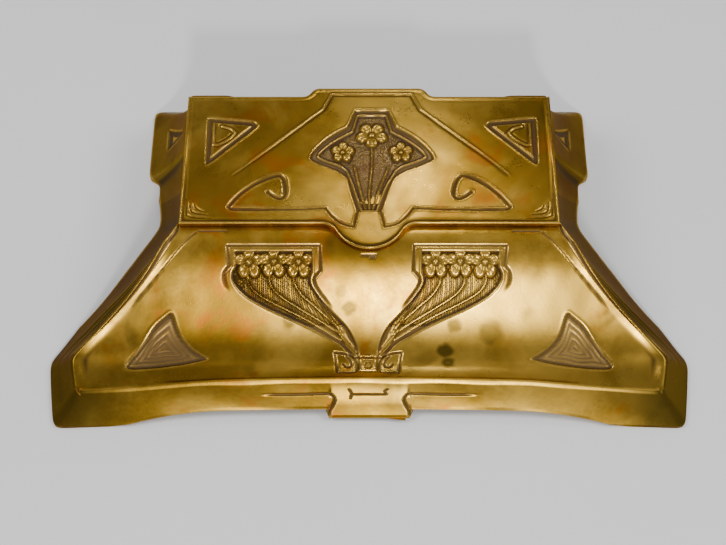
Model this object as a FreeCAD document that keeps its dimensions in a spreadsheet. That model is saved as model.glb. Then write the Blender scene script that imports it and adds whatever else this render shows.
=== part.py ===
import FreeCAD, Part
import math
import os
import Sketcher
from FreeCAD import Placement, Rotation, Vector

# Desk inkstand: a low cast-brass body with a pen tray in front and a box for two glass wells
# behind it, closed by one wide hinged lid.
# Frame: X to the right, Y from the pen tray to the hinge, Z up. The origin is on the desk,
# under the middle of the stand. Every size is in millimetres and lives in the sheet below.

SIZES = [
    # Corners of the right half at the desk, from the front foot round to the back
    ("foot_corner_x", 150.0), ("foot_corner_y", -90.5),
    ("foot_wide_x", 155.0), ("foot_wide_y", -57.5),
    ("foot_heel_x", 150.0), ("foot_heel_y", -50.5),
    ("neck_x", 109.0), ("neck_front_y", 19.0), ("neck_back_y", 45.0),
    ("wing_x", 115.0), ("wing_front_y", 49.0), ("wing_back_y", 90.5),
    ("wing_inner_x", 77.0), ("wing_inner_y", 90.5),
    ("back_x", 73.0), ("back_y", 85.0),
    # The same corners where the flared skirt meets the level of the box rim
    ("top_corner_x", 124.0), ("top_corner_y", -65.0),
    ("top_wide_x", 127.0), ("top_wide_y", -63.2),
    ("top_heel_x", 126.4), ("top_heel_y", -62.0),
    ("top_neck_x", 88.5), ("top_neck_front_y", 0.5), ("top_neck_back_y", 45.5),
    ("top_wing_x", 89.5), ("top_wing_front_y", 48.0), ("top_wing_back_y", 69.5),
    ("top_wing_inner_x", 70.0), ("top_wing_inner_y", 69.5),
    ("top_back_x", 68.0), ("top_back_y", 68.6),
    # Skirt: a short upright band at the desk, then a flare that steepens as it rises
    ("foot_band", 2.0), ("flare_power", 1.8),
    ("rim_height", 46.2),
    ("front_bow", 3.0), ("top_bow", 6.0),
    # Pen tray, in section
    ("crest_y", -71.5), ("crest_height", 16.0), ("crest_radius", 2.6), ("crest_fall", 0.39),
    ("valley_y", -63.5), ("valley_height", 10.0), ("toe_radius", 6.0), ("toe_angle", 60.0),
    ("valley_radius", 18.0), ("slope_angle", 46.0), ("slope_length", 33.4), ("brow_radius", 22.0),
    ("basin_half", 136.0),
    # Walls
    ("wall", 3.4), ("tray_wall", 3.0), ("partition_y", 1.0), ("partition_wall", 2.6),
    ("flange_underside", 39.3),
    # Arched lower edges between the feet
    ("front_arch_half", 124.0), ("front_arch_height", 6.0), ("front_arch_run", 56.0),
    ("side_arch_front", -44.0), ("side_arch_back", 40.0), ("side_arch_height", 5.0),
    ("side_arch_run", 24.0),
    ("back_arch_half", 70.0), ("back_arch_height", 4.5), ("back_arch_run", 24.0),
    # Pendant tab in the middle of the front apron
    ("tab_half", 15.5), ("tab_flare", 4.0), ("tab_low_y", -87.6), ("tab_low_height", 3.0),
    ("tab_sole", 5.0), ("tab_top_drop", 2.0), ("tab_lip", 3.4), ("tab_lip_drop", 1.6),
    ("tab_face", 9.0), ("tab_face_drop", 6.6), ("tab_waist", 5.0), ("tab_bend", 4.8),
    # Box opening and the rebate that the insert plate lies in
    ("opening_half", 80.5), ("opening_front", 6.0), ("opening_back", 61.0),
    ("rebate_half", 84.5), ("rebate_front", 2.0), ("rebate_back", 65.0),
    ("rebate_floor", 41.3), ("fit_gap", 0.3),
    # Lid
    ("lid_half", 90.0), ("lid_front", -6.5), ("lid_back", 66.5), ("lid_underside", 46.5),
    ("lid_thick", 3.5), ("tongue_radius", 18.0), ("tongue_reach", 13.5), ("tongue_fillet", 8.0),
    ("lid_tab_half", 24.5), ("lid_tab_root", 33.0), ("lid_tab_reach", 5.0),
    ("lid_recess", 1.2), ("lid_border", 6.0), ("lid_edge_radius", 1.0),
    # Hinge
    ("hinge_y", 72.6), ("hinge_height", 44.0), ("barrel_radius", 2.2), ("barrel_half", 23.0),
    ("pin_radius", 1.0), ("pin_clearance", 0.05), ("knuckle_gap", 0.4),
    ("leaf_thick", 1.2), ("lid_leaf_thick", 1.0), ("leaf_low", 38.0), ("leaf_high", 45.4),
    ("mortise_y", 67.6), ("lid_leaf_front", 59.0),
    ("rivet_radius", 1.0), ("rivet_head", 1.5), ("rivet_head_thick", 0.8), ("rivet_spacing", 16.0),
    ("body_rivet_height", 40.4), ("lid_rivet_y", 62.8), ("rivet_depth", 1.3),
    # Insert plate, wells and nib tray
    ("plate_thick", 1.2), ("well_x", 52.0), ("well_y", 33.5), ("well_size", 44.6),
    ("well_low", 9.0), ("collar_size", 50.0), ("collar_thick", 2.0), ("lip_radius", 20.0),
    ("lip_height", 1.1), ("bore_radius", 17.5), ("bore_low", 12.5), ("collar_corner", 3.0),
    ("nib_half_x", 18.9), ("nib_half_y", 22.6), ("nib_flange", 3.2), ("nib_low", 30.0),
    ("nib_wall", 0.8),
    ("carrier_screw_x", 82.3), ("carrier_screw_y", 28.9), ("small_screw", 1.0),
    ("small_head", 1.8), ("small_head_thick", 0.8), ("small_length", 4.0),
    # Base plate, its baize and its screws
    ("base_low", 6.0), ("base_front_x", 128.0), ("base_front_y", -40.0), ("base_neck_x", 95.0),
    ("base_neck_y", 16.0), ("base_back_y", 74.0), ("baize_thick", 1.0), ("baize_margin", 2.0),
    ("post_radius", 4.5), ("front_post_x", 88.0), ("front_post_y", -32.0),
    ("back_post_x", 86.0), ("back_post_y", 66.0), ("post_gap", 0.2),
    ("base_screw", 1.5), ("base_head", 2.8), ("base_head_thick", 1.6), ("base_screw_depth", 11.0),
    ("hole_play", 0.05), ("head_play", 0.6), ("post_length", 38.2),
    ("mortise_play", 0.6), ("mortise_reach", 12.0), ("seat_play", 0.2), ("lid_arm_back", 0.8),
    # How far the cutting shapes reach past the metal
    ("over", 1.0), ("drill", 9.0), ("crest_run", 36.0), ("past_back", 120.0),
    ("past_top", 90.0), ("past_sides", 400.0), ("side_start", 200.0), ("front_start", 96.0),
    ("back_start", -60.0), ("arch_reach", 36.0), ("tab_start", 100.0), ("cut_low", 30.0),
    ("cut_top", 60.0),
]

doc = FreeCAD.newDocument("inkstand")
sheet = doc.addObject("Spreadsheet::Sheet", "dims")
for row, (alias, size) in enumerate(SIZES, start=1):
    sheet.set(f"A{row}", alias)
    sheet.set(f"B{row}", str(size))
    sheet.setAlias(f"B{row}", alias)
doc.recompute()


def cell(text):
    """Turn a formula in sheet aliases into an expression, with every alias given its sheet."""
    words = []
    word = ""
    for letter in text + " ":
        if letter.isalnum() or letter == "_":
            word += letter
            continue
        words.append("dims." + word if word in ALIASES else word)
        words.append(letter)
        word = ""
    return "".join(words).strip()


ALIASES = {alias for alias, size in SIZES}


def value(text):
    """The number that a formula stands for."""
    result = sheet.evalExpression(cell(text))
    return float(getattr(result, "Value", result))


def negative(text):
    return f"-({text})"


def mirrored(right, closing=None):
    """Close a right-hand outline with its mirror image in the YZ plane.

    Each corner is (x, y, arc), and arc belongs to the edge that leaves the corner."""
    left = []
    for index in reversed(range(len(right))):
        arc = right[index - 1][2] if index else closing
        left.append((negative(right[index][0]), right[index][1], arc))
    return right + left


def arc_between(here, there, radius, side):
    """The shorter arc between two points, always held anticlockwise as a sketch needs it."""
    half = here.distanceToPoint(there) / 2
    along = (there - here).normalize()
    inward = Vector(along.y, -along.x, 0) * side
    centre = (here + there) * 0.5 + inward * math.sqrt(radius ** 2 - half ** 2)
    first, last = (there, here) if side > 0 else (here, there)
    start = math.atan2(first.y - centre.y, first.x - centre.x)
    end = math.atan2(last.y - centre.y, last.x - centre.x)
    if end < start:
        end += 2 * math.pi
    return Part.ArcOfCircle(Part.Circle(centre, Vector(0, 0, 1), radius), start, end)


def sketch(body, name, role, lift, corners):
    """A closed outline of lines and arcs. An arc is (radius, side): side 1 bulges to the left."""
    plane = next(item for item in body.Origin.OriginFeatures if item.Role == role)
    outline = body.newObject("Sketcher::SketchObject", name)
    outline.AttachmentSupport = (plane, [""])
    outline.MapMode = "FlatFace"
    outline.setExpression("AttachmentOffset.Base.z", cell(lift))
    points = [Vector(value(x), value(y), 0) for x, y, arc in corners]
    starts = []
    for index, (x, y, arc) in enumerate(corners):
        here = points[index]
        there = points[(index + 1) % len(points)]
        if arc is None:
            outline.addGeometry(Part.LineSegment(here, there))
            starts.append(1)
            continue
        outline.addGeometry(arc_between(here, there, value(arc[0]), arc[1]))
        starts.append(2 if arc[1] > 0 else 1)
    for index in range(len(corners)):
        following = (index + 1) % len(corners)
        outline.addConstraint(
            Sketcher.Constraint("Coincident", index, 3 - starts[index], following, starts[following])
        )
    for index, (x, y, arc) in enumerate(corners):
        for kind, size, formula in (("DistanceX", points[index].x, x), ("DistanceY", points[index].y, y)):
            place = outline.addConstraint(
                Sketcher.Constraint(kind, -1, 1, index, starts[index], size)
            )
            outline.setExpression(f"Constraints[{place}]", cell(formula))
        if arc is not None:
            place = outline.addConstraint(Sketcher.Constraint("Radius", index, value(arc[0])))
            outline.setExpression(f"Constraints[{place}]", cell(arc[0]))
    return outline


def new_body(name):
    body = doc.addObject("PartDesign::Body", name)
    body.Label = name
    return body


def pad(body, name, profile, length):
    feature = body.newObject("PartDesign::Pad", name)
    feature.Profile = profile
    feature.setExpression("Length", cell(length))
    return feature


def pocket(body, name, profile, length, symmetric=False, reverse=False):
    """Cut a pocket and make sure that it took something away."""
    doc.recompute()
    before = body.Shape.Volume
    feature = body.newObject("PartDesign::Pocket", name)
    feature.Profile = profile
    feature.setExpression("Length", cell(length))
    if symmetric:
        feature.SideType = "Symmetric"
    feature.Reversed = reverse
    doc.recompute()
    if body.Shape.Volume > before - 1.0:
        raise RuntimeError(f"{name} cut nothing")
    return feature


def block(name, low, high):
    """A box between two corners, each given as three formulas."""
    box = doc.addObject("Part::Box", name)
    for side, start, end in zip(("Length", "Width", "Height"), low, high):
        box.setExpression(side, cell(f"({end}) - ({start})"))
    for axis, start in zip("xyz", low):
        box.setExpression(f"Placement.Base.{axis}", cell(start))
    return box


TURNS = {
    "Z": Rotation(),
    "X": Rotation(Vector(0, 1, 0), 90),
    "Y": Rotation(Vector(1, 0, 0), -90),
}


def rod(name, axis, radius, start, length):
    """A cylinder that leaves its start point along an axis."""
    cylinder = doc.addObject("Part::Cylinder", name)
    cylinder.Placement = Placement(Vector(), TURNS[axis])
    cylinder.setExpression("Radius", cell(radius))
    cylinder.setExpression("Height", cell(length))
    for letter, place in zip("xyz", start):
        cylinder.setExpression(f"Placement.Base.{letter}", cell(place))
    return cylinder


def joined(name, pieces):
    union = doc.addObject("Part::MultiFuse", name)
    union.Shapes = pieces
    union.Label = name
    return union


def cut(name, base, tool):
    difference = doc.addObject("Part::Cut", name)
    difference.Base = base
    difference.Tool = tool
    difference.Label = name
    return difference


# Skirt: the footprint drawn again at each height, moved in by the flare and an inset
CORNERS = ["corner", "wide", "heel", "neck_front", "neck_back", "wing_front", "wing_back",
           "wing_inner", "back"]
COLUMNS = {"neck_front": "neck", "neck_back": "neck", "wing_front": "wing", "wing_back": "wing"}
INWARD = {"corner": (-0.95, 1.0), "wide": (-1.0, 0.0), "heel": (-1.1, -0.4),
          "neck_front": (-1.0, 0.0), "neck_back": (-1.0, 0.0), "wing_front": (-1.0, 0.6),
          "wing_back": (-1.0, -1.0), "wing_inner": (0.0, -1.0), "back": (0.0, -1.0)}
FLARE_STEPS = 9


def flare_levels():
    """Height and share of the flare for each section of the skirt."""
    levels = [("0", "0")]
    for step in range(FLARE_STEPS + 1):
        climb = step / FLARE_STEPS
        height = f"foot_band + (rim_height - foot_band) * {climb:.4f}"
        levels.append((height, f"(1 - {1 - climb:.4f} ^ flare_power)"))
    return levels


def skirt_corner(corner, share, inset):
    """One corner of the skirt at a share of the flare, moved in from the outer face."""
    column = COLUMNS.get(corner, corner)
    foot_x = f"foot_{corner}_x" if f"foot_{corner}_x" in ALIASES else f"{column}_x"
    foot_y = f"foot_{corner}_y" if f"foot_{corner}_y" in ALIASES else f"{corner}_y"
    turn_x, turn_y = INWARD[corner]
    x = f"{foot_x} + (top_{column}_x - {foot_x}) * {share} + {turn_x} * {inset}"
    y = f"{foot_y} + (top_{corner}_y - {foot_y}) * {share} + {turn_y} * {inset}"
    return x, y


def front_run(corner, share):
    """Points along the front edge, which bows back a little towards the middle."""
    x, y = corner
    bow = f"(front_bow + (top_bow - front_bow) * {share})"
    return [(f"({x}) * {part}", f"{y} + {bow} * (1 - {part} * {part})", None)
            for part in ("0.25", "0.5", "0.75")]


def skirt(body, inset):
    sections = []
    for level, (height, share) in enumerate(flare_levels()):
        right = [skirt_corner(corner, share, inset) for corner in CORNERS]
        run = front_run(right[0], share)
        outline = mirrored(run + [corner + (None,) for corner in right])
        sections.append(sketch(body, f"{body.Name}_level{level}", "XY_Plane", height, outline))
    loft = body.newObject("PartDesign::AdditiveLoft", f"{body.Name}_flare")
    loft.Profile = sections[0]
    loft.Sections = sections[1:]
    loft.Ruled = True
    return loft


def valley_section(drop):
    """The hollow of the pen tray in the YZ plane, from the inside of the crest to the slope."""
    toe_x = "valley_y - toe_radius * sin(toe_angle)"
    toe_z = f"valley_height + toe_radius * (1 - cos(toe_angle)) - {drop}"
    return [
        (toe_x, toe_z, ("toe_radius", -1)),
        ("valley_y", f"valley_height - {drop}", ("valley_radius", -1)),
        slope_foot(drop),
    ]


def slope_foot(drop):
    """Where the hollow of the tray runs out into the straight slope."""
    return ("valley_y + valley_radius * sin(slope_angle)",
            f"valley_height + valley_radius * (1 - cos(slope_angle)) - {drop}", None)


def tray_section(drop, hollow):
    """The upper face in the YZ plane from the front crest to the brow."""
    foot_y, foot_z, straight = slope_foot(drop)
    head_y = f"{foot_y} + slope_length * cos(slope_angle)"
    head_z = f"{foot_z} + slope_length * sin(slope_angle)"
    brow_y = f"{head_y} + brow_radius * sin(slope_angle)"
    brow_z = f"{head_z} + brow_radius * (1 - cos(slope_angle))"
    valley = valley_section(drop)
    if not hollow:
        valley = [valley[0][:2] + (None,), valley[-1]]
    return [
        ("crest_y - crest_run", f"crest_height - crest_run * crest_fall - {drop}", None),
        ("crest_y", f"crest_height - {drop}", ("crest_radius", 1)),
        *valley,
        (head_y, head_z, ("brow_radius", 1)),
        (brow_y, brow_z, None),
    ]


CLEAR = [("past_back", "past_top", None), ("crest_y - crest_run", "past_top", None)]
ARCH_STEPS = ["0", "0.2", "0.4", "0.6", "0.8", "1"]
POST_FOOT = "base_low + plate_thick + post_gap"


def arch(body, name, plane, span, run, height, length):
    """Raise the lower edge between two feet: a long easy climb from each to a level middle."""
    role, lift = plane
    first, last = span
    climb = [(f"{part} * {run}", f"{height} * (1 - (1 - {part}) ^ 2)") for part in ARCH_STEPS]
    outline = [(first, "-over", None)]
    outline += [(f"{first} + {along}", rise, None) for along, rise in climb]
    outline += [(f"{last} - {along}", rise, None) for along, rise in reversed(climb)]
    outline.append((last, "-over", None))
    pocket(body, name, sketch(body, f"{name}_outline", role, lift, outline), length)


def make_outer():
    body = new_body("shell_outer")
    skirt(body, "0")
    above = tray_section("0", False) + [("past_back", "rim_height", None)] + CLEAR
    pocket(body, "tray_face", sketch(body, "tray_outline", "YZ_Plane", "0", above),
           "past_sides", True)
    basin = valley_section("0")
    basin += [(basin[-1][0], "rim_height", None), (basin[0][0], "rim_height", None)]
    pocket(body, "basin", sketch(body, "basin_outline", "YZ_Plane", "0", basin),
           "2 * basin_half", True)
    arch(body, "front_arch", ("XZ_Plane", "front_start"), ("-front_arch_half", "front_arch_half"),
         "front_arch_run", "front_arch_height", "arch_reach")
    arch(body, "back_arch", ("XZ_Plane", "back_start"), ("-back_arch_half", "back_arch_half"),
         "back_arch_run", "back_arch_height", "arch_reach")
    arch(body, "side_arch", ("YZ_Plane", "side_start"), ("side_arch_front", "side_arch_back"),
         "side_arch_run", "side_arch_height", "past_sides")
    return body


def make_core():
    """The hollow inside the skirt, with a slot for the wall between tray and box."""
    body = new_body("shell_core")
    skirt(body, "wall")
    above = tray_section("tray_wall", True)
    above += [
        ("partition_y - partition_wall", "rim_height - tray_wall", None),
        ("partition_y - partition_wall", POST_FOOT, None),
        ("partition_y", POST_FOOT, None),
        ("partition_y", "flange_underside", None),
        ("past_back", "flange_underside", None),
    ]
    above += CLEAR
    pocket(body, "core_face", sketch(body, "core_outline", "YZ_Plane", "0", above),
           "past_sides", True)
    return body


def make_tab():
    """The pendant in the middle of the apron, proud of it and hanging a little lower."""
    body = new_body("apron_tab")
    section = [
        ("tab_low_y", "tab_low_height", None),
        ("tab_low_y + tab_sole", "tab_low_height", None),
        ("crest_y", "crest_height - tab_top_drop", None),
        ("crest_y - tab_lip", "crest_height - tab_lip_drop", None),
        ("crest_y - tab_face", "crest_height - tab_face_drop", None),
    ]
    outline = sketch(body, "tab_outline", "YZ_Plane", "0", section)
    feature = pad(body, "tab_pad", outline, "2 * (tab_half + tab_flare)")
    feature.SideType = "Symmetric"
    low = "tab_low_height - over"
    clear = "tab_half + tab_flare + drill"
    for side, name in ((1, "tab_right"), (-1, "tab_left")):
        waist = [
            (f"{side} * tab_half", "crest_height + over", None),
            (f"{side} * tab_half", "tab_low_height + tab_waist", ("tab_bend", -side)),
            (f"{side} * (tab_half + tab_flare)", low, None),
            (f"{side} * ({clear})", low, None),
            (f"{side} * ({clear})", "crest_height + over", None),
        ]
        pocket(body, name, sketch(body, f"{name}_outline", "XZ_Plane", "tab_start", waist), "cut_top")
    return body


def pairs(x, y):
    """The same place on the right and on the left."""
    return [(x, y), (negative(x), y)]


def screw_places():
    """The base screws: two in front, two behind."""
    return pairs("front_post_x", "front_post_y") + pairs("back_post_x", "back_post_y")


def carrier_places():
    """The insert plate's screws, one in each corner."""
    return pairs("carrier_screw_x", "well_y - carrier_screw_y") + pairs(
        "carrier_screw_x", "well_y + carrier_screw_y")


RIVETS = ["-rivet_spacing", "0", "rivet_spacing"]
CARRIER_TOP = "(rebate_floor + plate_thick)"


def make_shell():
    posts = joined("screw_posts", [
        rod(f"post{index}", "Z", "post_radius", (x, y, POST_FOOT), "post_length")
        for index, (x, y) in enumerate(screw_places())
    ])
    hollow = cut("shell_hollow", make_core(), posts)
    cast = joined("shell_cast", [make_outer(), make_tab()])
    tools = [
        block("box_opening", ("-opening_half", "opening_front", "cut_low"),
              ("opening_half", "opening_back", "cut_top")),
        block("box_rebate", ("-rebate_half", "rebate_front", "rebate_floor"),
              ("rebate_half", "rebate_back", "cut_top")),
        block("hinge_mortise", ("-barrel_half - mortise_play", "mortise_y", "leaf_low - fit_gap"),
              ("barrel_half + mortise_play", "mortise_y + mortise_reach", "cut_top")),
    ]
    for index, x in enumerate(RIVETS):
        tools.append(rod(f"body_rivet_hole{index}", "Y", "rivet_radius + hole_play",
                         (x, "rebate_back - over", "body_rivet_height"), "drill"))
    for index, (x, y) in enumerate(carrier_places()):
        tools.append(rod(f"carrier_screw_hole{index}", "Z", "small_screw + hole_play",
                         (x, y, "rebate_floor - small_length + plate_thick - over"), "drill"))
    for index, (x, y) in enumerate(screw_places()):
        tools.append(rod(f"base_screw_hole{index}", "Z", "base_screw + hole_play",
                         (x, y, "0"), "base_low + base_screw_depth + over"))
    return cut("body_shell", cut("shell_walls", cast, hollow), joined("shell_cuts", tools))


def lid_outline():
    """Right half of the lid: rounded tongue in front, stepped tab at the hinge."""
    middle = "(lid_front - tongue_reach + tongue_radius)"
    reach = "(tongue_radius + tongue_fillet)"
    fillet_y = "(lid_front - tongue_fillet)"
    fillet_x = f"sqrt({reach} * {reach} - ({middle} - {fillet_y}) * ({middle} - {fillet_y}))"
    part = f"tongue_radius / {reach}"
    step = "(lid_tab_root - lid_tab_half)"
    bend = f"({step} * {step} + lid_tab_reach * lid_tab_reach) / (4 * lid_tab_reach)"
    right = [
        (f"{fillet_x} * {part}", f"{middle} + ({fillet_y} - {middle}) * {part}",
         ("tongue_fillet", 1)),
        (fillet_x, "lid_front", None),
        ("lid_half", "lid_front", None),
        ("lid_half", "lid_back", None),
        ("lid_tab_root", "lid_back", (bend, 1)),
        ("(lid_tab_root + lid_tab_half) / 2", "lid_back + lid_tab_reach / 2", (bend, -1)),
        ("lid_tab_half", "lid_back + lid_tab_reach", None),
    ]
    return mirrored(right, ("tongue_radius", -1))


def rectangle(half, front, back):
    return mirrored([(half, front, None), (half, back, None)])


def make_lid():
    body = new_body("lid_casting")
    outline = sketch(body, "lid_outline", "XY_Plane", "lid_underside", lid_outline())
    plate = pad(body, "lid_pad", outline, "lid_thick")
    doc.recompute()
    top = value("lid_underside + lid_thick")
    rim = [f"Edge{index}" for index, edge in enumerate(body.Shape.Edges, start=1)
           if all(abs(vertex.Z - top) < 1e-6 for vertex in edge.Vertexes)]
    rounding = body.newObject("PartDesign::Fillet", "lid_rounding")
    rounding.Base = (plate, rim)
    rounding.setExpression("Radius", cell("lid_edge_radius"))
    inside = sketch(body, "lid_recess_outline", "XY_Plane", "lid_underside",
                    rectangle("lid_half - lid_border", "lid_front + 2 * lid_border",
                              "lid_back - lid_border"))
    pocket(body, "lid_hollow", inside, "lid_recess", reverse=True)
    seat = sketch(body, "leaf_seat_outline", "XY_Plane", "lid_underside",
                  rectangle("barrel_half + seat_play", "lid_leaf_front - seat_play",
                            "hinge_y + barrel_radius"))
    pocket(body, "leaf_seat", seat, "lid_leaf_thick", reverse=True)
    holes = joined("lid_rivet_holes", [
        rod(f"lid_rivet_hole{index}", "Z", "rivet_radius + hole_play",
            (x, "lid_rivet_y", "lid_underside"), "lid_leaf_thick + rivet_depth + seat_play")
        for index, x in enumerate(RIVETS)
    ])
    return cut("lid_plate", body, holes)


KNUCKLES = 5


def knuckle(index):
    """First and last x of one of the five knuckles, counted from the left."""
    pitch = f"(2 * barrel_half / {KNUCKLES})"
    first = f"-barrel_half + {index} * {pitch} + knuckle_gap / 2"
    return first, f"{pitch} - knuckle_gap"


def make_leaf(name, plate, indexes, arm_low, arm_high, rivet_holes):
    """A hinge leaf: a riveted plate, its knuckles and the arm that joins each one."""
    pieces = [plate]
    for index in indexes:
        first, length = knuckle(index)
        pieces.append(rod(f"{name}_knuckle{index}", "X", "barrel_radius",
                          (first, "hinge_y", "hinge_height"), length))
        pieces.append(block(f"{name}_arm{index}", (first,) + arm_low,
                            (f"{first} + {length}",) + arm_high))
    bore = rod(f"{name}_bore", "X", "pin_radius + pin_clearance",
               ("-barrel_half - over", "hinge_y", "hinge_height"), "2 * (barrel_half + over)")
    return cut(name, joined(f"{name}_blank", pieces), joined(f"{name}_holes", [bore] + rivet_holes))


def make_body_leaf():
    plate = block("body_leaf_plate", ("-barrel_half", "mortise_y", "leaf_low"),
                  ("barrel_half", "mortise_y + leaf_thick", "leaf_high"))
    holes = [rod(f"body_leaf_hole{index}", "Y", "rivet_radius + hole_play",
                 (x, "mortise_y - over", "body_rivet_height"), "leaf_thick + 2 * over")
             for index, x in enumerate(RIVETS)]
    return make_leaf("hinge_body_leaf", plate, (0, 2, 4),
                     ("mortise_y + leaf_thick / 2", "hinge_height - leaf_thick / 2"),
                     ("hinge_y", "hinge_height + leaf_thick / 2"), holes)


def make_lid_leaf():
    plate = block("lid_leaf_plate", ("-barrel_half", "lid_leaf_front", "lid_underside"),
                  ("barrel_half", "hinge_y + seat_play", "lid_underside + lid_leaf_thick"))
    holes = [rod(f"lid_leaf_hole{index}", "Z", "rivet_radius + hole_play",
                 (x, "lid_rivet_y", "lid_underside - over"), "lid_leaf_thick + 2 * over")
             for index, x in enumerate(RIVETS)]
    return make_leaf("hinge_lid_leaf", plate, (1, 3),
                     ("hinge_y - lid_arm_back", "hinge_height"),
                     ("hinge_y + seat_play", "lid_underside + lid_leaf_thick"), holes)


def make_pin():
    start = ("-barrel_half - rivet_head_thick", "hinge_y", "hinge_height")
    pieces = [rod("pin_shank", "X", "pin_radius", start, "2 * (barrel_half + rivet_head_thick)")]
    for side, first in (("left", "-barrel_half - rivet_head_thick"), ("right", "barrel_half")):
        pieces.append(rod(f"pin_head_{side}", "X", "rivet_head", (first, "hinge_y", "hinge_height"),
                          "rivet_head_thick"))
    return joined("hinge_pin", pieces)


def fastener(name, axis, radii, places, length, head):
    """A shank and a head on one axis: places are the starts of the two."""
    return joined(name, [
        rod(f"{name}_shank", axis, radii[0], places[0], length),
        rod(f"{name}_head", axis, radii[1], places[1], head),
    ])


def make_rivets():
    body = []
    lid = []
    for index, x in enumerate(RIVETS):
        shank = (x, "rebate_back + seat_play", "body_rivet_height")
        head = (x, "mortise_y + leaf_thick", "body_rivet_height")
        body.append(fastener(f"body_rivet{index}", "Y", ("rivet_radius", "rivet_head"),
                             (shank, head), "mortise_y + leaf_thick - rebate_back - seat_play",
                             "rivet_head_thick"))
        shank = (x, "lid_rivet_y", "lid_underside")
        head = (x, "lid_rivet_y", "lid_underside - rivet_head_thick")
        lid.append(fastener(f"lid_rivet{index}", "Z", ("rivet_radius", "rivet_head"),
                            (shank, head), "lid_leaf_thick + rivet_depth", "rivet_head_thick"))
    return joined("hinge_body_rivets", body), joined("hinge_lid_rivets", lid)


def rounded_box(name, centre, halves, corner, low, height):
    """An upright box with rounded vertical edges."""
    x, y = centre
    half_x, half_y = halves
    outline = []
    for turn_x, turn_y in ((1, -1), (1, 1), (-1, 1), (-1, -1)):
        near_x = f"{x} + {turn_x} * ({half_x} - ({corner}))"
        near_y = f"{y} + {turn_y} * ({half_y} - ({corner}))"
        far_x = f"{x} + {turn_x} * ({half_x})"
        far_y = f"{y} + {turn_y} * ({half_y})"
        ends = [(near_x, far_y, (corner, -1)), (far_x, near_y, None)]
        if turn_x * turn_y > 0:
            ends = [(far_x, near_y, (corner, -1)), (near_x, far_y, None)]
        outline += ends
    body = new_body(name)
    pad(body, f"{name}_pad", sketch(body, f"{name}_outline", "XY_Plane", low, outline), height)
    return body


def make_well(name, x):
    centre = (x, "well_y")
    corner = "collar_corner"
    glass = joined(f"{name}_blank", [
        rounded_box(f"{name}_jar", centre, ("well_size / 2", "well_size / 2"), corner,
                    "well_low", f"{CARRIER_TOP} - well_low"),
        rounded_box(f"{name}_collar", centre, ("collar_size / 2", "collar_size / 2"), corner,
                    CARRIER_TOP, "collar_thick"),
        rod(f"{name}_lip", "Z", "lip_radius", (x, "well_y", f"{CARRIER_TOP} + collar_thick"),
            "lip_height"),
    ])
    bore = rod(f"{name}_bore", "Z", "bore_radius", (x, "well_y", "bore_low"), "cut_top")
    return cut(name, glass, bore)


def make_nib_tray():
    centre = ("0", "well_y")
    corner = "collar_corner"
    blank = joined("nib_tray_blank", [
        rounded_box("nib_pan", centre, ("nib_half_x", "nib_half_y"), corner, "nib_low",
                    f"{CARRIER_TOP} - nib_low"),
        rounded_box("nib_rim", centre, ("nib_half_x + nib_flange", "nib_half_y + nib_flange"),
                    corner, CARRIER_TOP, "nib_wall"),
    ])
    hollow = rounded_box("nib_hollow", centre, ("nib_half_x - nib_wall", "nib_half_y - nib_wall"),
                         "collar_corner - nib_wall", "nib_low + nib_wall", "cut_top")
    return cut("nib_tray", blank, hollow)


def make_carrier():
    plate = block("carrier_blank", ("-rebate_half + fit_gap", "rebate_front + fit_gap", "rebate_floor"),
                  ("rebate_half - fit_gap", "rebate_back - fit_gap", CARRIER_TOP))
    holes = []
    grown = "well_size / 2 + fit_gap"
    for side in (-1, 1):
        holes.append(rounded_box(f"well_hole{side + 1}", (f"{side} * well_x", "well_y"),
                                 (grown, grown), "collar_corner + fit_gap", "cut_low", "cut_low"))
    holes.append(rounded_box("nib_hole", ("0", "well_y"),
                             ("nib_half_x + fit_gap", "nib_half_y + fit_gap"),
                             "collar_corner + fit_gap", "cut_low", "cut_low"))
    for index, (x, y) in enumerate(carrier_places()):
        holes.append(rod(f"carrier_hole{index}", "Z", "small_screw + hole_play",
                         (x, y, "rebate_floor - over"), "drill"))
    return cut("well_carrier", plate, joined("carrier_holes", holes))


def make_screws(name, places, radii, seat, shank, head_low, head):
    """Identical screws: the shank leaves its seat and the head lies on the other side."""
    screws = []
    for index, (x, y) in enumerate(places):
        starts = ((x, y, seat), (x, y, head_low))
        screws.append(fastener(f"{name}{index}", "Z", radii, starts, shank, head))
    return joined(name, screws)


def base_sheet(name, margin, low, thick, hole):
    """A flat sheet inside the skirt, pierced for the base screws."""
    outline = [
        (f"base_front_x - 2 * {margin}", f"base_front_y + {margin}", None),
        (f"base_neck_x - {margin}", "base_neck_y", None),
        (f"base_neck_x - {margin}", f"base_back_y - {margin}", None),
    ]
    body = new_body(f"{name}_blank")
    pad(body, f"{name}_pad", sketch(body, f"{name}_outline", "XY_Plane", low, mirrored(outline)),
        thick)
    holes = [rod(f"{name}_hole{index}", "Z", hole, (x, y, "0"), "drill")
             for index, (x, y) in enumerate(screw_places())]
    return cut(name, body, joined(f"{name}_holes", holes))


def make_parts():
    body_rivets, lid_rivets = make_rivets()
    return [
        make_shell(),
        base_sheet("base_plate", "0", "base_low", "plate_thick", "base_screw + hole_play"),
        base_sheet("base_baize", "baize_margin", "base_low - baize_thick", "baize_thick",
                   "base_head + head_play"),
        make_screws("base_screws", screw_places(), ("base_screw", "base_head"),
                    "base_low", "base_screw_depth", "base_low - base_head_thick",
                    "base_head_thick"),
        make_carrier(),
        make_screws("carrier_screws", carrier_places(), ("small_screw", "small_head"),
                    f"{CARRIER_TOP} - small_length", "small_length", CARRIER_TOP,
                    "small_head_thick"),
        make_nib_tray(),
        make_well("ink_well_left", "-well_x"),
        make_well("ink_well_right", "well_x"),
        make_body_leaf(),
        body_rivets,
        make_pin(),
        make_lid(),
        make_lid_leaf(),
        lid_rivets,
    ]


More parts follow.
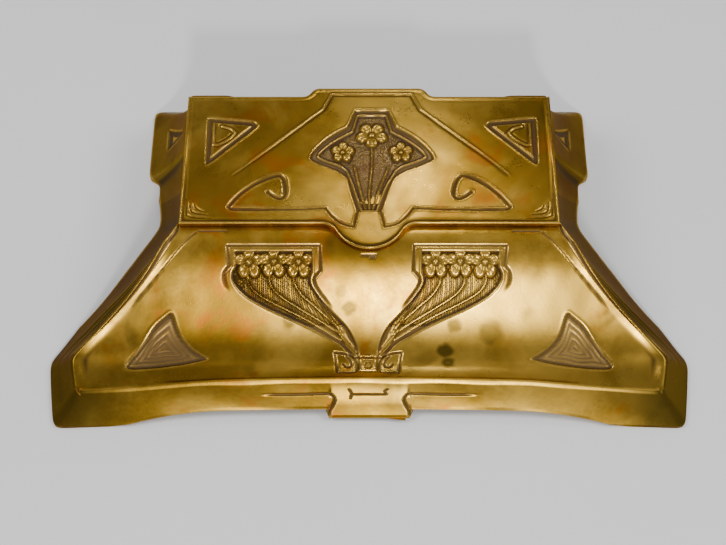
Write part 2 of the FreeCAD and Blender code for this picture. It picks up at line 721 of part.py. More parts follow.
parts = make_parts()
doc.recompute()

for item in doc.Objects:
    if "Invalid" in item.State or "Error" in item.State:
        raise RuntimeError(f"{item.Name} failed: {item.State}")
for item in parts:
    if item.Shape.isNull() or not item.Shape.isValid():
        raise RuntimeError(f"{item.Label} has no valid shape")

os.makedirs("parts", exist_ok=True)
for item in parts:
    item.Shape.exportStep(f"parts/{item.Label}.step")
    size = item.Shape.BoundBox
    print(f"{item.Label}: {len(item.Shape.Solids)} solid(s), {item.Shape.Volume:.0f} mm3, "
          f"{size.XLength:.1f} x {size.YLength:.1f} x {size.ZLength:.1f} mm")
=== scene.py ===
import math

import bpy
import numpy as np
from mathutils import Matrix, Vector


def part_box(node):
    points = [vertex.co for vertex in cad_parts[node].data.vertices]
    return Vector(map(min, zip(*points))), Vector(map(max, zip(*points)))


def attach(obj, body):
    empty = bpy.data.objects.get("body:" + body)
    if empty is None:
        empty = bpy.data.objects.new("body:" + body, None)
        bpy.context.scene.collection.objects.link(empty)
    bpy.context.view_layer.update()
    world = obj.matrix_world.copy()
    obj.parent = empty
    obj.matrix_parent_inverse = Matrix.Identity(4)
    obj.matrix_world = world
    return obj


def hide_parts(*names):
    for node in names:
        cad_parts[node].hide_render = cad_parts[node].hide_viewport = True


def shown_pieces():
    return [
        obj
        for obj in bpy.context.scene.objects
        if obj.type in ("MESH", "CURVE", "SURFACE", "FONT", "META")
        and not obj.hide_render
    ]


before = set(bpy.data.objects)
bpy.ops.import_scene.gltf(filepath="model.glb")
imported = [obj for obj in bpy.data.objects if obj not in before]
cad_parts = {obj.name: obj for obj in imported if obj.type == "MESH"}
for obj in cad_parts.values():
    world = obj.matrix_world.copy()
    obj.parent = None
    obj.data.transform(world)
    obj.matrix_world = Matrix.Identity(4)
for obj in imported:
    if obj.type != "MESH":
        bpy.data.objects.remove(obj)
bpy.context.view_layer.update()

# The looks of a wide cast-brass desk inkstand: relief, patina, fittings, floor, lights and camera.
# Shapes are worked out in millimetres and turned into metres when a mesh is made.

MM = 0.001


def box_mm(name):
    """Low and high corner of a CAD node's box, in millimetres."""
    low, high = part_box(name)
    return np.array(low) / MM, np.array(high) / MM


# ---------------- sizes, as the CAD has them

LID_LOW, LID_HIGH = box_mm("lid_plate")
RIM = box_mm("body_shell")[1][2]

# Right half of the skirt: its corners at the foot and at the top, from the front to the back
FOOT_BAND = 2.0
FLARE = 1.8
FOOT_FRONT, TOP_FRONT = -90.5, -65.0
FOOT = [(150, -90.5), (155, -57.5), (150, -50.5), (109, 19), (109, 45),
        (115, 49), (115, 90.5), (77, 90.5), (73, 85)]
TOP = [(124, -65), (127, -63.2), (126.4, -62), (88.5, 0.5), (88.5, 45.5),
       (89.5, 48), (89.5, 69.5), (70, 69.5), (68, 68.6)]
FRONT_BOW = 3.0
WING_STEP = 2.0
COLUMN_STEP = 0.25
SKIRT_ROWS, BACK_ROWS = 104, 96
LIP_REACH = 3.3
SEAM_WIDTH = 1.5

# Tray, as the photo's reflections need it
TRAY_FLOOR = 13.2
SLOPE_START, SLOPE_RUN = -68.0, 59.0
CREST_RISE = 3.1
SIDE_LIP = 14.7
CREST_TOP, CREST_DROP = 16.6, 1.2

# Tray, as the CAD draws it
CREST = (-71.5, 16.0)
CREST_FALL = 0.39
RUN_OUT = 20.0
TOE_RADIUS, TOE_ANGLE = 6.0, 60
VALLEY = (-63.5, 10.0)
VALLEY_RADIUS = 18.0
SLOPE_ANGLE, SLOPE_LENGTH = 46, 33.4
BROW_RADIUS = 22.0

# Box and lid
BOX_SIDE, BOX_FRONT, BOX_BACK = 84.5, 2.0, 65.0
MORTISE_HALF, MORTISE_Y, MORTISE_Z = 23.6, 67.6, 37.7
LID_HALF = LID_HIGH[0]
LID_FRONT, LID_BACK = -6.5, 66.5
TONGUE_RADIUS, TONGUE_Y = 18.0, -2.0
FILLET, FILLET_X = 8.0, 22.8
TAB_HALF, TAB_ROOT, TAB_BEND = 24.5, 33.0, 4.86


# ---------------- small tools

def smooth(low, high, value):
    """An easy rise from 0 at low to 1 at high, or a fall where high is the smaller one."""
    t = np.clip((value - low) / (high - low), 0, 1)
    return t * t * (3 - 2 * t)


def bell(distance, half):
    """1 on a line, falling to 0 at half its width."""
    t = np.clip(1 - (distance / half) ** 2, 0, 1)
    return t * t


def curve(points, steps=7):
    """A smooth line through the points."""
    p = np.array(points, float)
    if len(p) < 3:
        return p
    ends = np.vstack([2 * p[0] - p[1], p, 2 * p[-1] - p[-2]])
    t = np.linspace(0, 1, steps, endpoint=False)[:, None]
    runs = []
    for a, b, c, d in zip(ends, ends[1:], ends[2:], ends[3:]):
        square = (2 * a - 5 * b + 4 * c - d) * t ** 2
        cube = (3 * b - a - 3 * c + d) * t ** 3
        runs.append(0.5 * (2 * b + (c - a) * t + square + cube))
    return np.vstack(runs + [p[-1:]])


def line(*runs):
    """Smooth runs, each starting where the one before it ends in a sharp corner."""
    return np.vstack([curve(run)[:-1] for run in runs] + [np.array(runs[-1][-1:], float)])


def near(x, y, path, reach=9.0):
    """Distance to a path, the side of it (left is +), and the share of its length passed."""
    distance = np.full(x.shape, reach)
    side = np.ones(x.shape)
    share = np.zeros(x.shape)
    low, high = path.min(0) - reach, path.max(0) + reach
    some = np.where((x > low[0]) & (x < high[0]) & (y > low[1]) & (y < high[1]))
    px, py = x[some], y[some]
    if not px.size:
        return distance, side, share
    best = np.full(px.shape, reach * reach)
    turn, passed = np.ones(px.shape), np.zeros(px.shape)
    steps = np.hypot(*(path[1:] - path[:-1]).T)
    done = 0.0
    for (ax, ay), (bx, by), length in zip(path[:-1], path[1:], steps):
        if length < 1e-6:
            continue
        ux, uy = (bx - ax) / length, (by - ay) / length
        along = np.clip((px - ax) * ux + (py - ay) * uy, 0, length)
        ox, oy = px - ax - along * ux, py - ay - along * uy
        square = ox * ox + oy * oy
        closer = square < best
        best = np.where(closer, square, best)
        turn = np.where(closer, np.where(ux * oy - uy * ox >= 0, 1.0, -1.0), turn)
        passed = np.where(closer, (done + along) / steps.sum(), passed)
        done += length
    distance[some], side[some], share[some] = np.sqrt(best), turn, passed
    return distance, side, share


def signed(x, y, outline, reach=9.0):
    """Distance to a closed outline, negative inside it."""
    path = np.vstack([outline, outline[:1]])
    distance = near(x, y, path, reach)[0]
    inside = np.zeros(x.shape, bool)
    low, high = path.min(0), path.max(0)
    some = np.where((x > low[0]) & (x < high[0]) & (y > low[1]) & (y < high[1]))
    px, py = x[some], y[some]
    odd = np.zeros(px.shape, bool)
    for (ax, ay), (bx, by) in zip(path[:-1], path[1:]):
        if ay != by:
            crosses = ((ay > py) != (by > py)) & (px < (bx - ax) * (py - ay) / (by - ay) + ax)
            odd ^= crosses
    inside[some] = odd
    return np.where(inside, -distance, distance)


def chance(a, b, seed):
    """A repeatable number from 0 to 1 for each cell."""
    value = np.sin(a * 12.9898 + b * 78.233 + seed * 3.7) * 43758.5453
    return value - np.floor(value)


def punched(x, y, pitch, seed):
    """Small dots in staggered rows, each a little out of place."""
    row = np.floor(y / pitch)
    across = x / pitch + 0.5 * np.mod(row, 2)
    cell = np.floor(across)
    dx = across - cell - 0.5 - 0.35 * (chance(cell, row, seed) - 0.5)
    dy = y / pitch - row - 0.5 - 0.35 * (chance(row, cell, seed + 1) - 0.5)
    return bell(np.hypot(dx, dy), 0.5) * (0.6 + 0.4 * chance(cell, row, seed + 2))


def ripple(x, y, size, seed):
    """Slow hand-made unevenness, from -1 to 1."""
    total = np.zeros(x.shape)
    for k in range(6):
        turn = 2 * math.pi * chance(np.float64(k), 1.0, seed)
        pace = (0.6 + 0.9 * chance(np.float64(k), 2.0, seed)) * 2 * math.pi / size
        phase = 2 * math.pi * chance(np.float64(k), 3.0, seed)
        total += np.sin((x * math.cos(turn) + y * math.sin(turn)) * pace + phase)
    return total / 3.2


def blossom(x, y, centre, width, height, turn=0.0):
    """A five-petalled flower with creased petals round a button, from 0 to 1 high."""
    u, v = (x - centre[0]) / width, (y - centre[1]) / height
    far = np.hypot(u, v)
    fold = 2 * math.pi / 5
    angle = np.mod(np.arctan2(v, u) + turn + fold / 2, fold) - fold / 2
    lobe = np.clip(np.cos(2.5 * angle), 0, 1)
    reach = 0.58 + 0.42 * np.sqrt(lobe)
    edge = smooth(reach, reach - 0.24, far)
    dish = 0.2 + 0.8 * smooth(0.14, 0.52, far)
    crease = 0.6 * bell(lobe, 0.42) * smooth(0.1, 0.3, far)
    vein = 0.22 * bell(np.abs(angle) - 0.17, 0.10) + 0.16 * bell(angle, 0.06)
    button = np.sqrt(np.clip(1 - (far / 0.16) ** 2, 0, 1))
    petals = edge * dish * (1 - crease) * (1 - vein * smooth(0.85, 0.5, far))
    return np.maximum(petals, 0.72 * button)


def blur(values, taps):
    """A soft average over a few grid steps, both ways."""
    kernel = np.exp(-0.5 * (np.arange(-taps, taps + 1) / (taps / 2)) ** 2)
    kernel /= kernel.sum()
    for axis in (0, 1):
        padding = [(0, 0)] * values.ndim
        padding[axis] = (taps, taps)
        wide = np.pad(values, padding, mode="edge")
        size = values.shape[axis]
        values = sum(k * np.take(wide, np.arange(i, i + size), axis)
                     for i, k in enumerate(kernel))
    return values


def normals(surface):
    """Unit normals of a grid of points, to the left of columns crossing rows."""
    across = np.gradient(surface, axis=1)
    up = np.gradient(surface, axis=0)
    n = np.cross(across, up)
    return n / np.maximum(np.linalg.norm(n, axis=2, keepdims=True), 1e-9)


def hollows(surface, taps=4):
    """How far each point lies below (+) or above (-) its surroundings."""
    return ((blur(surface, taps) - surface) * normals(surface)).sum(2)


# ---------------- the tray's section, front to back

def arc(centre_y, centre_z, radius, start, stop):
    """Points of an arc, its angles counted from straight down."""
    turn = np.radians(np.linspace(start, stop, 25))
    return centre_y + radius * np.sin(turn), centre_z - radius * np.cos(turn)


def tray_section():
    """The tray as the CAD draws it: crest, valley, straight slope and brow."""
    toe = arc(VALLEY[0], VALLEY[1] + TOE_RADIUS, TOE_RADIUS, -TOE_ANGLE, 0)
    dip = arc(VALLEY[0], VALLEY[1] + VALLEY_RADIUS, VALLEY_RADIUS, 0, SLOPE_ANGLE)
    lean = math.radians(SLOPE_ANGLE)
    brow_y = dip[0][-1] + SLOPE_LENGTH * math.cos(lean) + BROW_RADIUS * math.sin(lean)
    brow_z = dip[1][-1] + SLOPE_LENGTH * math.sin(lean) + BROW_RADIUS * (1 - math.cos(lean))
    brow = arc(brow_y, brow_z - BROW_RADIUS, -BROW_RADIUS, SLOPE_ANGLE, 0)
    ahead = [CREST[0] - RUN_OUT, CREST[0]]
    rise = [CREST[1] - RUN_OUT * CREST_FALL, CREST[1]]
    y = np.concatenate([ahead, toe[0], dip[0], brow[0], [RUN_OUT]])
    z = np.concatenate([rise, toe[1], dip[1], brow[1], [brow_z]])
    return y, np.minimum(z, RIM)


def slope(y):
    """One long S from the valley up to the rim, steepest a little above the middle."""
    t = np.clip((y - SLOPE_START) / SLOPE_RUN, 0, 1)
    return TRAY_FLOOR + (RIM - TRAY_FLOOR) * t ** 2 * (2.25 - 0.5 * t - 0.75 * t ** 2)


def section(y):
    """The tray as the photo shows it: the slope, with an easy rise to the crest in front."""
    return slope(y) + CREST_RISE * smooth(-60.5, -74, y)


def rim_height(y):
    """Height of the edge between tray and skirt along the stand's sides."""
    raised = slope(y) + 0.8 * smooth(-2, -14, y)
    eased = (raised + SIDE_LIP) / 2 + np.hypot((raised - SIDE_LIP) / 2, 0.6)
    return np.minimum(eased + (raised - eased) * smooth(-44, -30, y), RIM)


def crest_height(x):
    """Height of the same edge along the front, a little lower at both ends."""
    return CREST_TOP - CREST_DROP * smooth(72, 118, np.abs(x))


# ---------------- the skirt's columns

def half_outline(corners, front):
    """The right half of an outline, from its front centre to its back centre."""
    return np.array([(0, front)] + corners + [(0, corners[-1][1])], float)


def columns():
    """Foot and top of the skirt's right half at even steps, and how far along its corners lie."""
    foot, top = half_outline(FOOT, FOOT_FRONT), half_outline(TOP, TOP_FRONT)
    for shape in (foot, top):
        shape[5, 1] += WING_STEP / 2
        shape[6, 1] -= WING_STEP
    lengths = np.hypot(*(foot[1:] - foot[:-1]).T)
    corners = np.concatenate([[0], np.cumsum(lengths)])
    at = np.arange(0, corners[-1], COLUMN_STEP)
    rise = np.clip(1 - (at / FOOT[0][0]) ** 2, 0, None)
    halves = []
    for shape, bow in ((foot, FRONT_BOW), (top, 2 * FRONT_BOW)):
        xy = np.stack([np.interp(at, corners, shape[:, k]) for k in (0, 1)], -1)
        xy[:, 1] += bow * rise
        halves.append(xy)
    soft = []
    reach = 36
    kernel = np.exp(-0.5 * (np.arange(-reach, reach + 1) / 11) ** 2)
    kernel /= kernel.sum()
    for xy in halves:
        ring = np.vstack([xy, xy[:0:-1] * (-1, 1)])
        wide = np.vstack([ring[-reach:], ring, ring[:reach]])
        ring = np.stack([np.convolve(wide[:, k], kernel, "valid") for k in (0, 1)], -1)
        soft.append(ring[:len(at)])
    return at, corners, soft[0], soft[1]


AT, CORNERS, FOOT_LOOP, TOP_LOOP = columns()


def share_at(z):
    """How far the skirt has leaned in at a height."""
    return 1 - (1 - np.clip((z - FOOT_BAND) / (RIM - FOOT_BAND), 0, 1)) ** FLARE


def pick(positions):
    """Foot and top points of the skirt at some distances along it."""
    foot = np.stack([np.interp(positions, AT, FOOT_LOOP[:, k]) for k in (0, 1)], -1)
    top = np.stack([np.interp(positions, AT, TOP_LOOP[:, k]) for k in (0, 1)], -1)
    return foot, top


def on_skirt(foot, top, z):
    """Points of the skirt at some heights, between foot and top points."""
    share = share_at(z)[..., None]
    xy = foot * (1 - share) + top * share
    return np.concatenate([xy, z[..., None]], -1)


def top_height(foot, top, in_front):
    """Height at which each column of the skirt meets the tray's edge, found by halving."""
    low, high = np.full(len(foot), 3.0), np.full(len(foot), RIM)
    for _ in range(40):
        middle = (low + high) / 2
        points = on_skirt(foot, top, middle)
        wanted = np.where(in_front, crest_height(points[:, 0]), rim_height(points[:, 1]))
        above = middle > wanted
        high = np.where(above, middle, high)
        low = np.where(above, low, middle)
    return high


def bowed(inward, run, height):
    """Rise of the lower edge at a distance inside an arch's end."""
    return height * (1 - (1 - np.clip(inward / run, 0, 1)) ** 2)


def lower_edge(points):
    """Height of the skirt's lower edge, arched between the feet and raised under the apron tab."""
    x, y = np.abs(points[..., 0]), points[..., 1]
    front = np.where(y < -72, bowed(124 - x, 56, 6.0), 0)
    tab = smooth(20.2, 19.2, x)
    front = np.where(y < -72, front * (1 - tab) + 3.0 * tab, front)
    back = np.where(y > 80, bowed(70 - x, 24, 4.5), 0)
    inward = np.minimum(y + 44, 40 - y)
    side = np.where((y > -50) & (y < 47) & (x > 80), bowed(inward, 24, 5.0), 0)
    return np.maximum(np.maximum(np.maximum(front, back), side), 0)


def bottom_height(foot, top):
    """Height at which each column of the skirt starts."""
    z = np.zeros(len(foot))
    for _ in range(4):
        z = lower_edge(on_skirt(foot, top, z))
    return z


def spaced(*runs):
    """Positions along a run of stretches, each (start, stop, step)."""
    parts = [np.linspace(a, b, max(2, int(round(abs(b - a) / step)) + 1))[:-1]
             for a, b, step in runs]
    return np.concatenate(parts + [[runs[-1][1]]])


# ---------------- making meshes

def grid_faces(rows, cols, first=0):
    """Four-sided faces of a grid of points, counted from the first one's number."""
    index = first + np.arange(rows * cols).reshape(rows, cols)
    quads = [index[:-1, :-1], index[:-1, 1:], index[1:, 1:], index[1:, :-1]]
    return np.stack(quads, -1).reshape(-1, 4)


def add(name, data):
    """A new object in the scene."""
    made = bpy.data.objects.new(name, data)
    bpy.context.scene.collection.objects.link(made)
    return made


def add_brass(name, mesh, body, node):
    """A cast-brass piece that moves with a body and stands for a CAD node."""
    piece = add(name, mesh)
    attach(piece, body)
    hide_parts(node)


def make(name, surfaces, body="stand", node="body_shell"):
    """One smooth mesh of several grids; each is (points, marks), marks being named numbers."""
    points, faces, marks = [], [], {}
    first = 0
    for surface, values in surfaces:
        rows, cols = surface.shape[:2]
        points.append(surface.reshape(-1, 3))
        faces.append(grid_faces(rows, cols, first))
        for key in ("cavity", "wear", "ground", "painted_shade_and_stain", "weave"):
            value = values.get(key, 0.0)
            flat = np.broadcast_to(value, (rows, cols)).reshape(-1)
            marks.setdefault(key, []).append(flat)
        first += rows * cols
    mesh = bpy.data.meshes.new(name)
    all_faces = np.vstack(faces)
    mesh.from_pydata((np.vstack(points) * MM).tolist(), [], all_faces.tolist())
    for key, value in marks.items():
        layer = mesh.attributes.new(key, "FLOAT", "POINT")
        layer.data.foreach_set("value", np.clip(np.concatenate(value), 0, 1).astype(np.float32))
    mesh.shade_smooth()
    add_brass(name, mesh, body, node)


def cad_part(node, name, keep, body, settle=None):
    """A copy of a CAD node's mesh holding only the faces that keep() wants."""
    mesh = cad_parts[node].data.copy()
    mesh.name = name
    centres = np.array([f.center for f in mesh.polygons]) / MM
    facing = np.array([f.normal for f in mesh.polygons])
    wanted = keep(centres, facing)
    points = np.array([v.co for v in mesh.vertices])
    if settle:
        points[:, 2] = settle(points / MM) * MM
    faces = [tuple(f.vertices) for f, yes in zip(mesh.polygons, wanted) if yes]
    used = sorted({i for f in faces for i in f})
    where = {old: new for new, old in enumerate(used)}
    fresh = bpy.data.meshes.new(name)
    fresh.from_pydata([points[i].tolist() for i in used], [],
                      [[where[i] for i in f] for f in faces])
    bpy.data.meshes.remove(mesh)
    add_brass(name, fresh, body, node)


def rounded_seam(lines, bend):
    """Lines running away from a seam sink towards it, so that two faces meet in a round edge."""
    away = np.linalg.norm(np.diff(lines, axis=1), axis=2)
    distance = np.concatenate([np.zeros((len(lines), 1)), np.cumsum(away, 1)], 1)
    fall = np.clip(1 - distance / SEAM_WIDTH, 0, 1) ** 2 * SEAM_WIDTH / 2
    return bend[:, None, :] * fall[..., None]


# ---------------- ornament of the lid

LID_BORDER = line([(0, 67.8), (19.9, 67.8)], [(19.9, 67.8), (24.3, 58.4)],
                  [(24.3, 58.4), (45, 40.4), (68, 20)])
LID_PANEL = line([(-9, 58), (8.0, 57.8)], [(8.0, 57.8), (11.8, 48)],
                 [(11.8, 48), (20.8, 42), (27.2, 35.4), (29.6, 31), (29.2, 29.2), (24.4, 26.4),
                  (15.4, 22.4), (11.0, 18.6)],
                 [(11.0, 18.6), (8.4, 10), (5.6, 0.6)], [(5.6, 0.6), (-9, 0.6)])
LID_GROUND = line([(-9, 55.2), (6.8, 55)], [(6.8, 55), (9.4, 45.4)],
                  [(9.4, 45.4), (17.6, 40.2), (23.2, 35.4), (25.8, 32), (25.2, 30.6), (21.0, 28.4),
                   (15, 26), (11.6, 23.4)],
                  [(11.6, 23.4), (7.5, 14.1), (3.4, 1.4)], [(3.4, 1.4), (-9, 1.4)])
TONGUE_LINE = line([(20.8, 2.3), (17.4, -2.2), (13.4, -5.6), (7.4, -7.4)],
                   [(7.4, -7.4), (5.7, 0.2)])
HOOK = line([(20.8, 2.3), (40, 1.6), (62, 1.9), (66.4, 2.6), (65.9, 5.0), (61, 10.8), (54, 16.4),
             (45.6, 20.2), (42.2, 18.9), (40.5, 13.6), (40.6, 9.4), (42.6, 7.8), (45.6, 8.9),
             (48.6, 11.2)])
TRIANGLE = line([(70, 52.2), (60, 51.1), (57, 49.8), (57.8, 47.0), (68.5, 36.8), (78.4, 27.6),
                 (80.2, 28.2), (80.5, 40), (80.5, 51.6), (79.2, 53.1), (70, 52.2)])
TRIANGLE_HOOK = line([(78, 50.2), (77.4, 38)], [(77.4, 38), (74.6, 38), (69.6, 41.4), (67, 44.8)],
                     [(67, 44.8), (69.2, 47), (73.6, 48.6)])
CRESCENTS = [line([(87.4, 7.4), (87.0, 1.0), (86.6, -1.4)], [(86.6, -1.4), (83.6, -2.6), (74.6, -3.2)]),
             line([(85.6, 6.0), (85.0, 2.0), (84.2, 0.4)], [(84.2, 0.4), (81.8, -0.6), (76.6, -1.2)]),
             line([(83.6, 5.2), (82.8, 3.2), (81.4, 1.6), (78.6, 0.6)])]
LID_STEMS = [line([(0, 37), (0, 1.4)]), line([(8.2, 25.4), (5.4, 15.7), (1.7, 2.2)])]


def lid_relief(x, y):
    """Height of the lid's ornament over its plain face, and how much of each place is ground."""
    ax = np.abs(x - 1.3 * smooth(8, 30, y))
    h = 0.10 * ripple(x, y, 46, 5) + 0.03 * ripple(x, y, 14, 8)
    h -= 1.3 * ((68 - y) / 68) ** 2
    d, side, share = near(ax, y, LID_BORDER)
    slim = 1 - 0.65 * smooth(0.42, 1.0, share)
    h += slim * (0.42 * bell(d, 0.95) - 0.5 * bell(d * side + 1.25, 0.8)) * smooth(1.0, 0.97, share)
    outer, inner = signed(ax, y, LID_PANEL), signed(ax, y, LID_GROUND)
    lit = 0.25 + 0.75 * smooth(27, 33, y)
    h += 0.22 * lit * bell(outer - 0.7, 0.9) - 0.95 * smooth(0.35, -0.35, outer)
    h += 0.85 * bell(inner - 0.25, 0.8) - 0.3 * smooth(0.1, -0.6, inner)
    ground = smooth(0.2, -0.5, outer) * (1 - 0.9 * bell(inner - 0.25, 0.8))
    ground *= 1 - 0.42 * smooth(-0.7, -1.6, inner)
    inside = smooth(-0.3, -0.8, inner)
    beads = 0.2 * punched(x, y, 1.1, 3) * inside
    weave = 0.04 * inside
    for stem in LID_STEMS:
        d = near(ax, y, stem)[0]
        h += 0.75 * bell(d, 0.75) * inside
        beads *= smooth(0.4, 0.9, d)
        ground *= 1 - 0.85 * bell(d, 0.8)
    flowers = np.maximum(blossom(ax, y, (0, 43.8), 8.6, 7.6, 1.57),
                         blossom(ax, y, (14.2, 33.8), 6.4, 6.2, 0.9))
    bloom = smooth(0.0, 0.25, flowers)
    h = (h + beads) * (1 - bloom) + (-1.25 + 1.35 * flowers) * bloom
    ground *= 1 - 0.9 * bloom
    weave *= smooth(0.5, 0.0, bloom)
    for path, depth, half in ((TONGUE_LINE, 0.75, 0.85), (HOOK, 0.7, 1.25)):
        d, side, share = near(ax, y, path)
        thin = 1 - 0.4 * smooth(0.34, 0.24, share) if path is HOOK else 1.0
        h += 0.15 * bell(d - half * thin - 0.3, 0.5) - depth * thin * bell(d, half * thin)
        ground = np.maximum(ground, 0.75 * bell(d, 0.8 * half * thin))
    d, side, share = near(ax, y, HOOK)
    h += 0.3 * bell(d, 0.35) * smooth(0.2, 0.34, share) * smooth(0.8, 0.7, share)
    s = signed(ax, y, TRIANGLE)
    h += 0.2 * bell(s - 0.6, 0.7) - 0.85 * smooth(0.3, -0.4, s) + 0.72 * smooth(-1.7, -2.5, s)
    ground = np.maximum(ground, 0.8 * smooth(0.1, -0.4, s) * smooth(-2.4, -1.6, s))
    d = near(ax, y, TRIANGLE_HOOK)[0]
    h += 0.34 * bell(d, 0.75) - 0.3 * bell(d - 1.15, 0.7) * smooth(-1.4, -2.2, s)
    for path in CRESCENTS:
        d, side, share = near(ax, y, path)
        h -= 0.4 * bell(d, 0.25 + 0.65 * np.sin(math.pi * share))
    return h, ground, weave


def lid_front(x):
    """The lid's front edge: straight at the sides, with a round tongue in the middle."""
    ax = np.abs(x)
    tongue = TONGUE_Y - np.sqrt(np.clip(TONGUE_RADIUS ** 2 - ax ** 2, 0, None))
    join = LID_FRONT - FILLET + np.sqrt(np.clip(FILLET ** 2 - (ax - FILLET_X) ** 2, 0, None))
    return np.where(ax < 15.78, tongue, np.where(ax < FILLET_X, join, LID_FRONT))


def lid_back(x):
    """The lid's back edge, stepping out over the hinge in an easy S."""
    ax = np.abs(x)
    middle = (TAB_HALF + TAB_ROOT) / 2
    out = TAB_BEND - np.sqrt(np.clip(TAB_BEND ** 2 - (TAB_ROOT - ax) ** 2, 0, None))
    back = TAB_BEND - np.sqrt(np.clip(TAB_BEND ** 2 - (ax - TAB_HALF) ** 2, 0, None))
    step = np.where(ax > TAB_ROOT, 0, np.where(ax > middle, out, 5 - back))
    return LID_BACK + np.where(ax < TAB_HALF, 5, step)


def lid_top():
    """The lid's upper face with its relief, and its ground and weave."""
    edge = [0, 0.12, 0.4, 0.8]
    x = np.concatenate([spaced((0, 32, 0.30), (32, 86, 0.52), (86, LID_HALF - 1.2, 0.4)),
                        LID_HALF - np.array(edge[::-1])])
    x = np.concatenate([-x[:0:-1], x])
    share = np.concatenate([[0, 0.002, 0.006, 0.011], np.linspace(0.017, 0.983, 196),
                            [0.989, 0.994, 0.998, 1]])
    front, back = lid_front(x), lid_back(x)
    X = np.broadcast_to(x, (len(share), len(x)))
    Y = front + (back - front) * share[:, None]
    contour = np.concatenate([np.stack([x, front], -1), np.stack([x, back], -1)[::-1]])
    contour = np.vstack([contour[::3], contour[-1:]])
    inward = np.minimum(near(X, Y, np.vstack([contour, contour[:1]]), 4.0)[0], LID_HALF - np.abs(X))
    h, ground, weave = lid_relief(X, Y)
    calm = smooth(0.4, 2.0, inward)
    sides = smooth(0.3, 0.0, LID_HALF - np.abs(X) - inward)
    bead = 0.22 * bell(inward - 1.5, 1.3) * (0.5 + 0.9 * smooth(-4, -14, Y)) * (1 - 0.7 * sides)
    h = h * calm + bead - 0.07 * bell(inward - 3.1, 0.8)
    drop = 1 - np.sqrt(np.clip(1 - (1 - np.clip(inward, 0, 1)) ** 2, 0, 1))
    surface = np.stack([X, Y, LID_HIGH[2] - drop + h], -1)
    return surface, ground, weave


def lid_wall(surface):
    """The lid's edge, from its round arris down to its underside."""
    ring = np.vstack([surface[0], surface[1:, -1], surface[-1, -2::-1], surface[-2::-1, 0]])
    levels = np.linspace(0, 1, 5)[:, None]
    wall = np.repeat(ring[None], 5, 0)
    wall[..., 2] = ring[None, :, 2] * (1 - levels) + LID_LOW[2] * levels
    return wall[::-1]


# ---------------- ornament of the tray

PANEL_GROOVE = line([(16.2, -40.4), (23.4, -33.6), (25.0, -30.4), (23.6, -28.6), (21.9, -27.2)],
                    [(21.9, -27.2), (22.3, -16.4)], [(22.3, -16.4), (66, -16.4)],
                    [(66, -16.4), (65.0, -25.4)],
                    [(65.0, -25.4), (67.4, -28.0), (67.3, -31.2), (64.8, -34.4)])
PANEL_RECESS = line([(26, -19.2), (62.4, -19.2)], [(62.4, -19.2), (62, -25.6)],
                    [(62, -25.6), (63.7, -28.2), (62.9, -31.4), (58, -35.6), (48, -39.8),
                     (34, -44.2), (22, -48.2), (13.4, -51.8), (7.0, -58.2)],
                    [(7.0, -58.2), (4.2, -58.4)],
                    [(4.2, -58.4), (5.5, -52), (9.4, -46.2), (17.6, -40.2), (25.0, -33.6),
                     (27.0, -30.4), (26, -27.6)], [(26, -27.6), (26, -19.2)])
TRAY_STEMS = [line([(34.8, -27.4), (34.6, -31), (31.2, -35.2), (24.6, -39.4), (13.2, -46.6)]),
              line([(45.6, -27.6), (46.2, -31), (42.2, -35.2), (31.6, -40.2), (20.6, -44.8),
                    (12.6, -48.4)]),
              line([(56, -28), (56.2, -31.2), (52.8, -34.6), (45, -38), (34.6, -41.6), (25.4, -45),
                    (12.8, -50.2)])]
HATCH = line([(20, -27), (22, -33), (18, -39), (6, -50)])
SCROLL = line([(16, -55.4), (11.6, -55.9), (7.4, -57.4), (5.3, -60.6), (5.5, -64.0), (7.6, -65.7),
               (14.4, -65.7)],
              [(14.4, -65.7), (15.1, -61), (16, -55.4)])
SCROLL_HOOK = line([(10.4, -57.0), (8.6, -58.8), (7.8, -60.6), (8.5, -62.2), (10.1, -62.4),
                    (11.9, -60.7)])
TRAY_TRIANGLE = line([(96.2, -42.2), (103, -46.4), (110, -54.6), (114.6, -60.4), (115, -62.8),
                      (111.6, -63.6), (102, -63), (88, -61), (77, -58.6)],
                     [(77, -58.6), (84.6, -54), (90.6, -48.4), (93.4, -42.6), (94.6, -41.4),
                      (96.2, -42.2)])
SLOPE_LINE = line([(82.1, -9.4), (94.5, -22.5), (105, -32.5), (114.6, -41)])
TRAY_FLOWERS = [(32.4, -24.0), (44.1, -23.8), (55.8, -24.1)]
TRAY_NICKS = [(-3.9, 3.4, -20.9), (0.4, 2.6, -21.9), (68, 81, -8.9), (-81, -68, -8.9)]


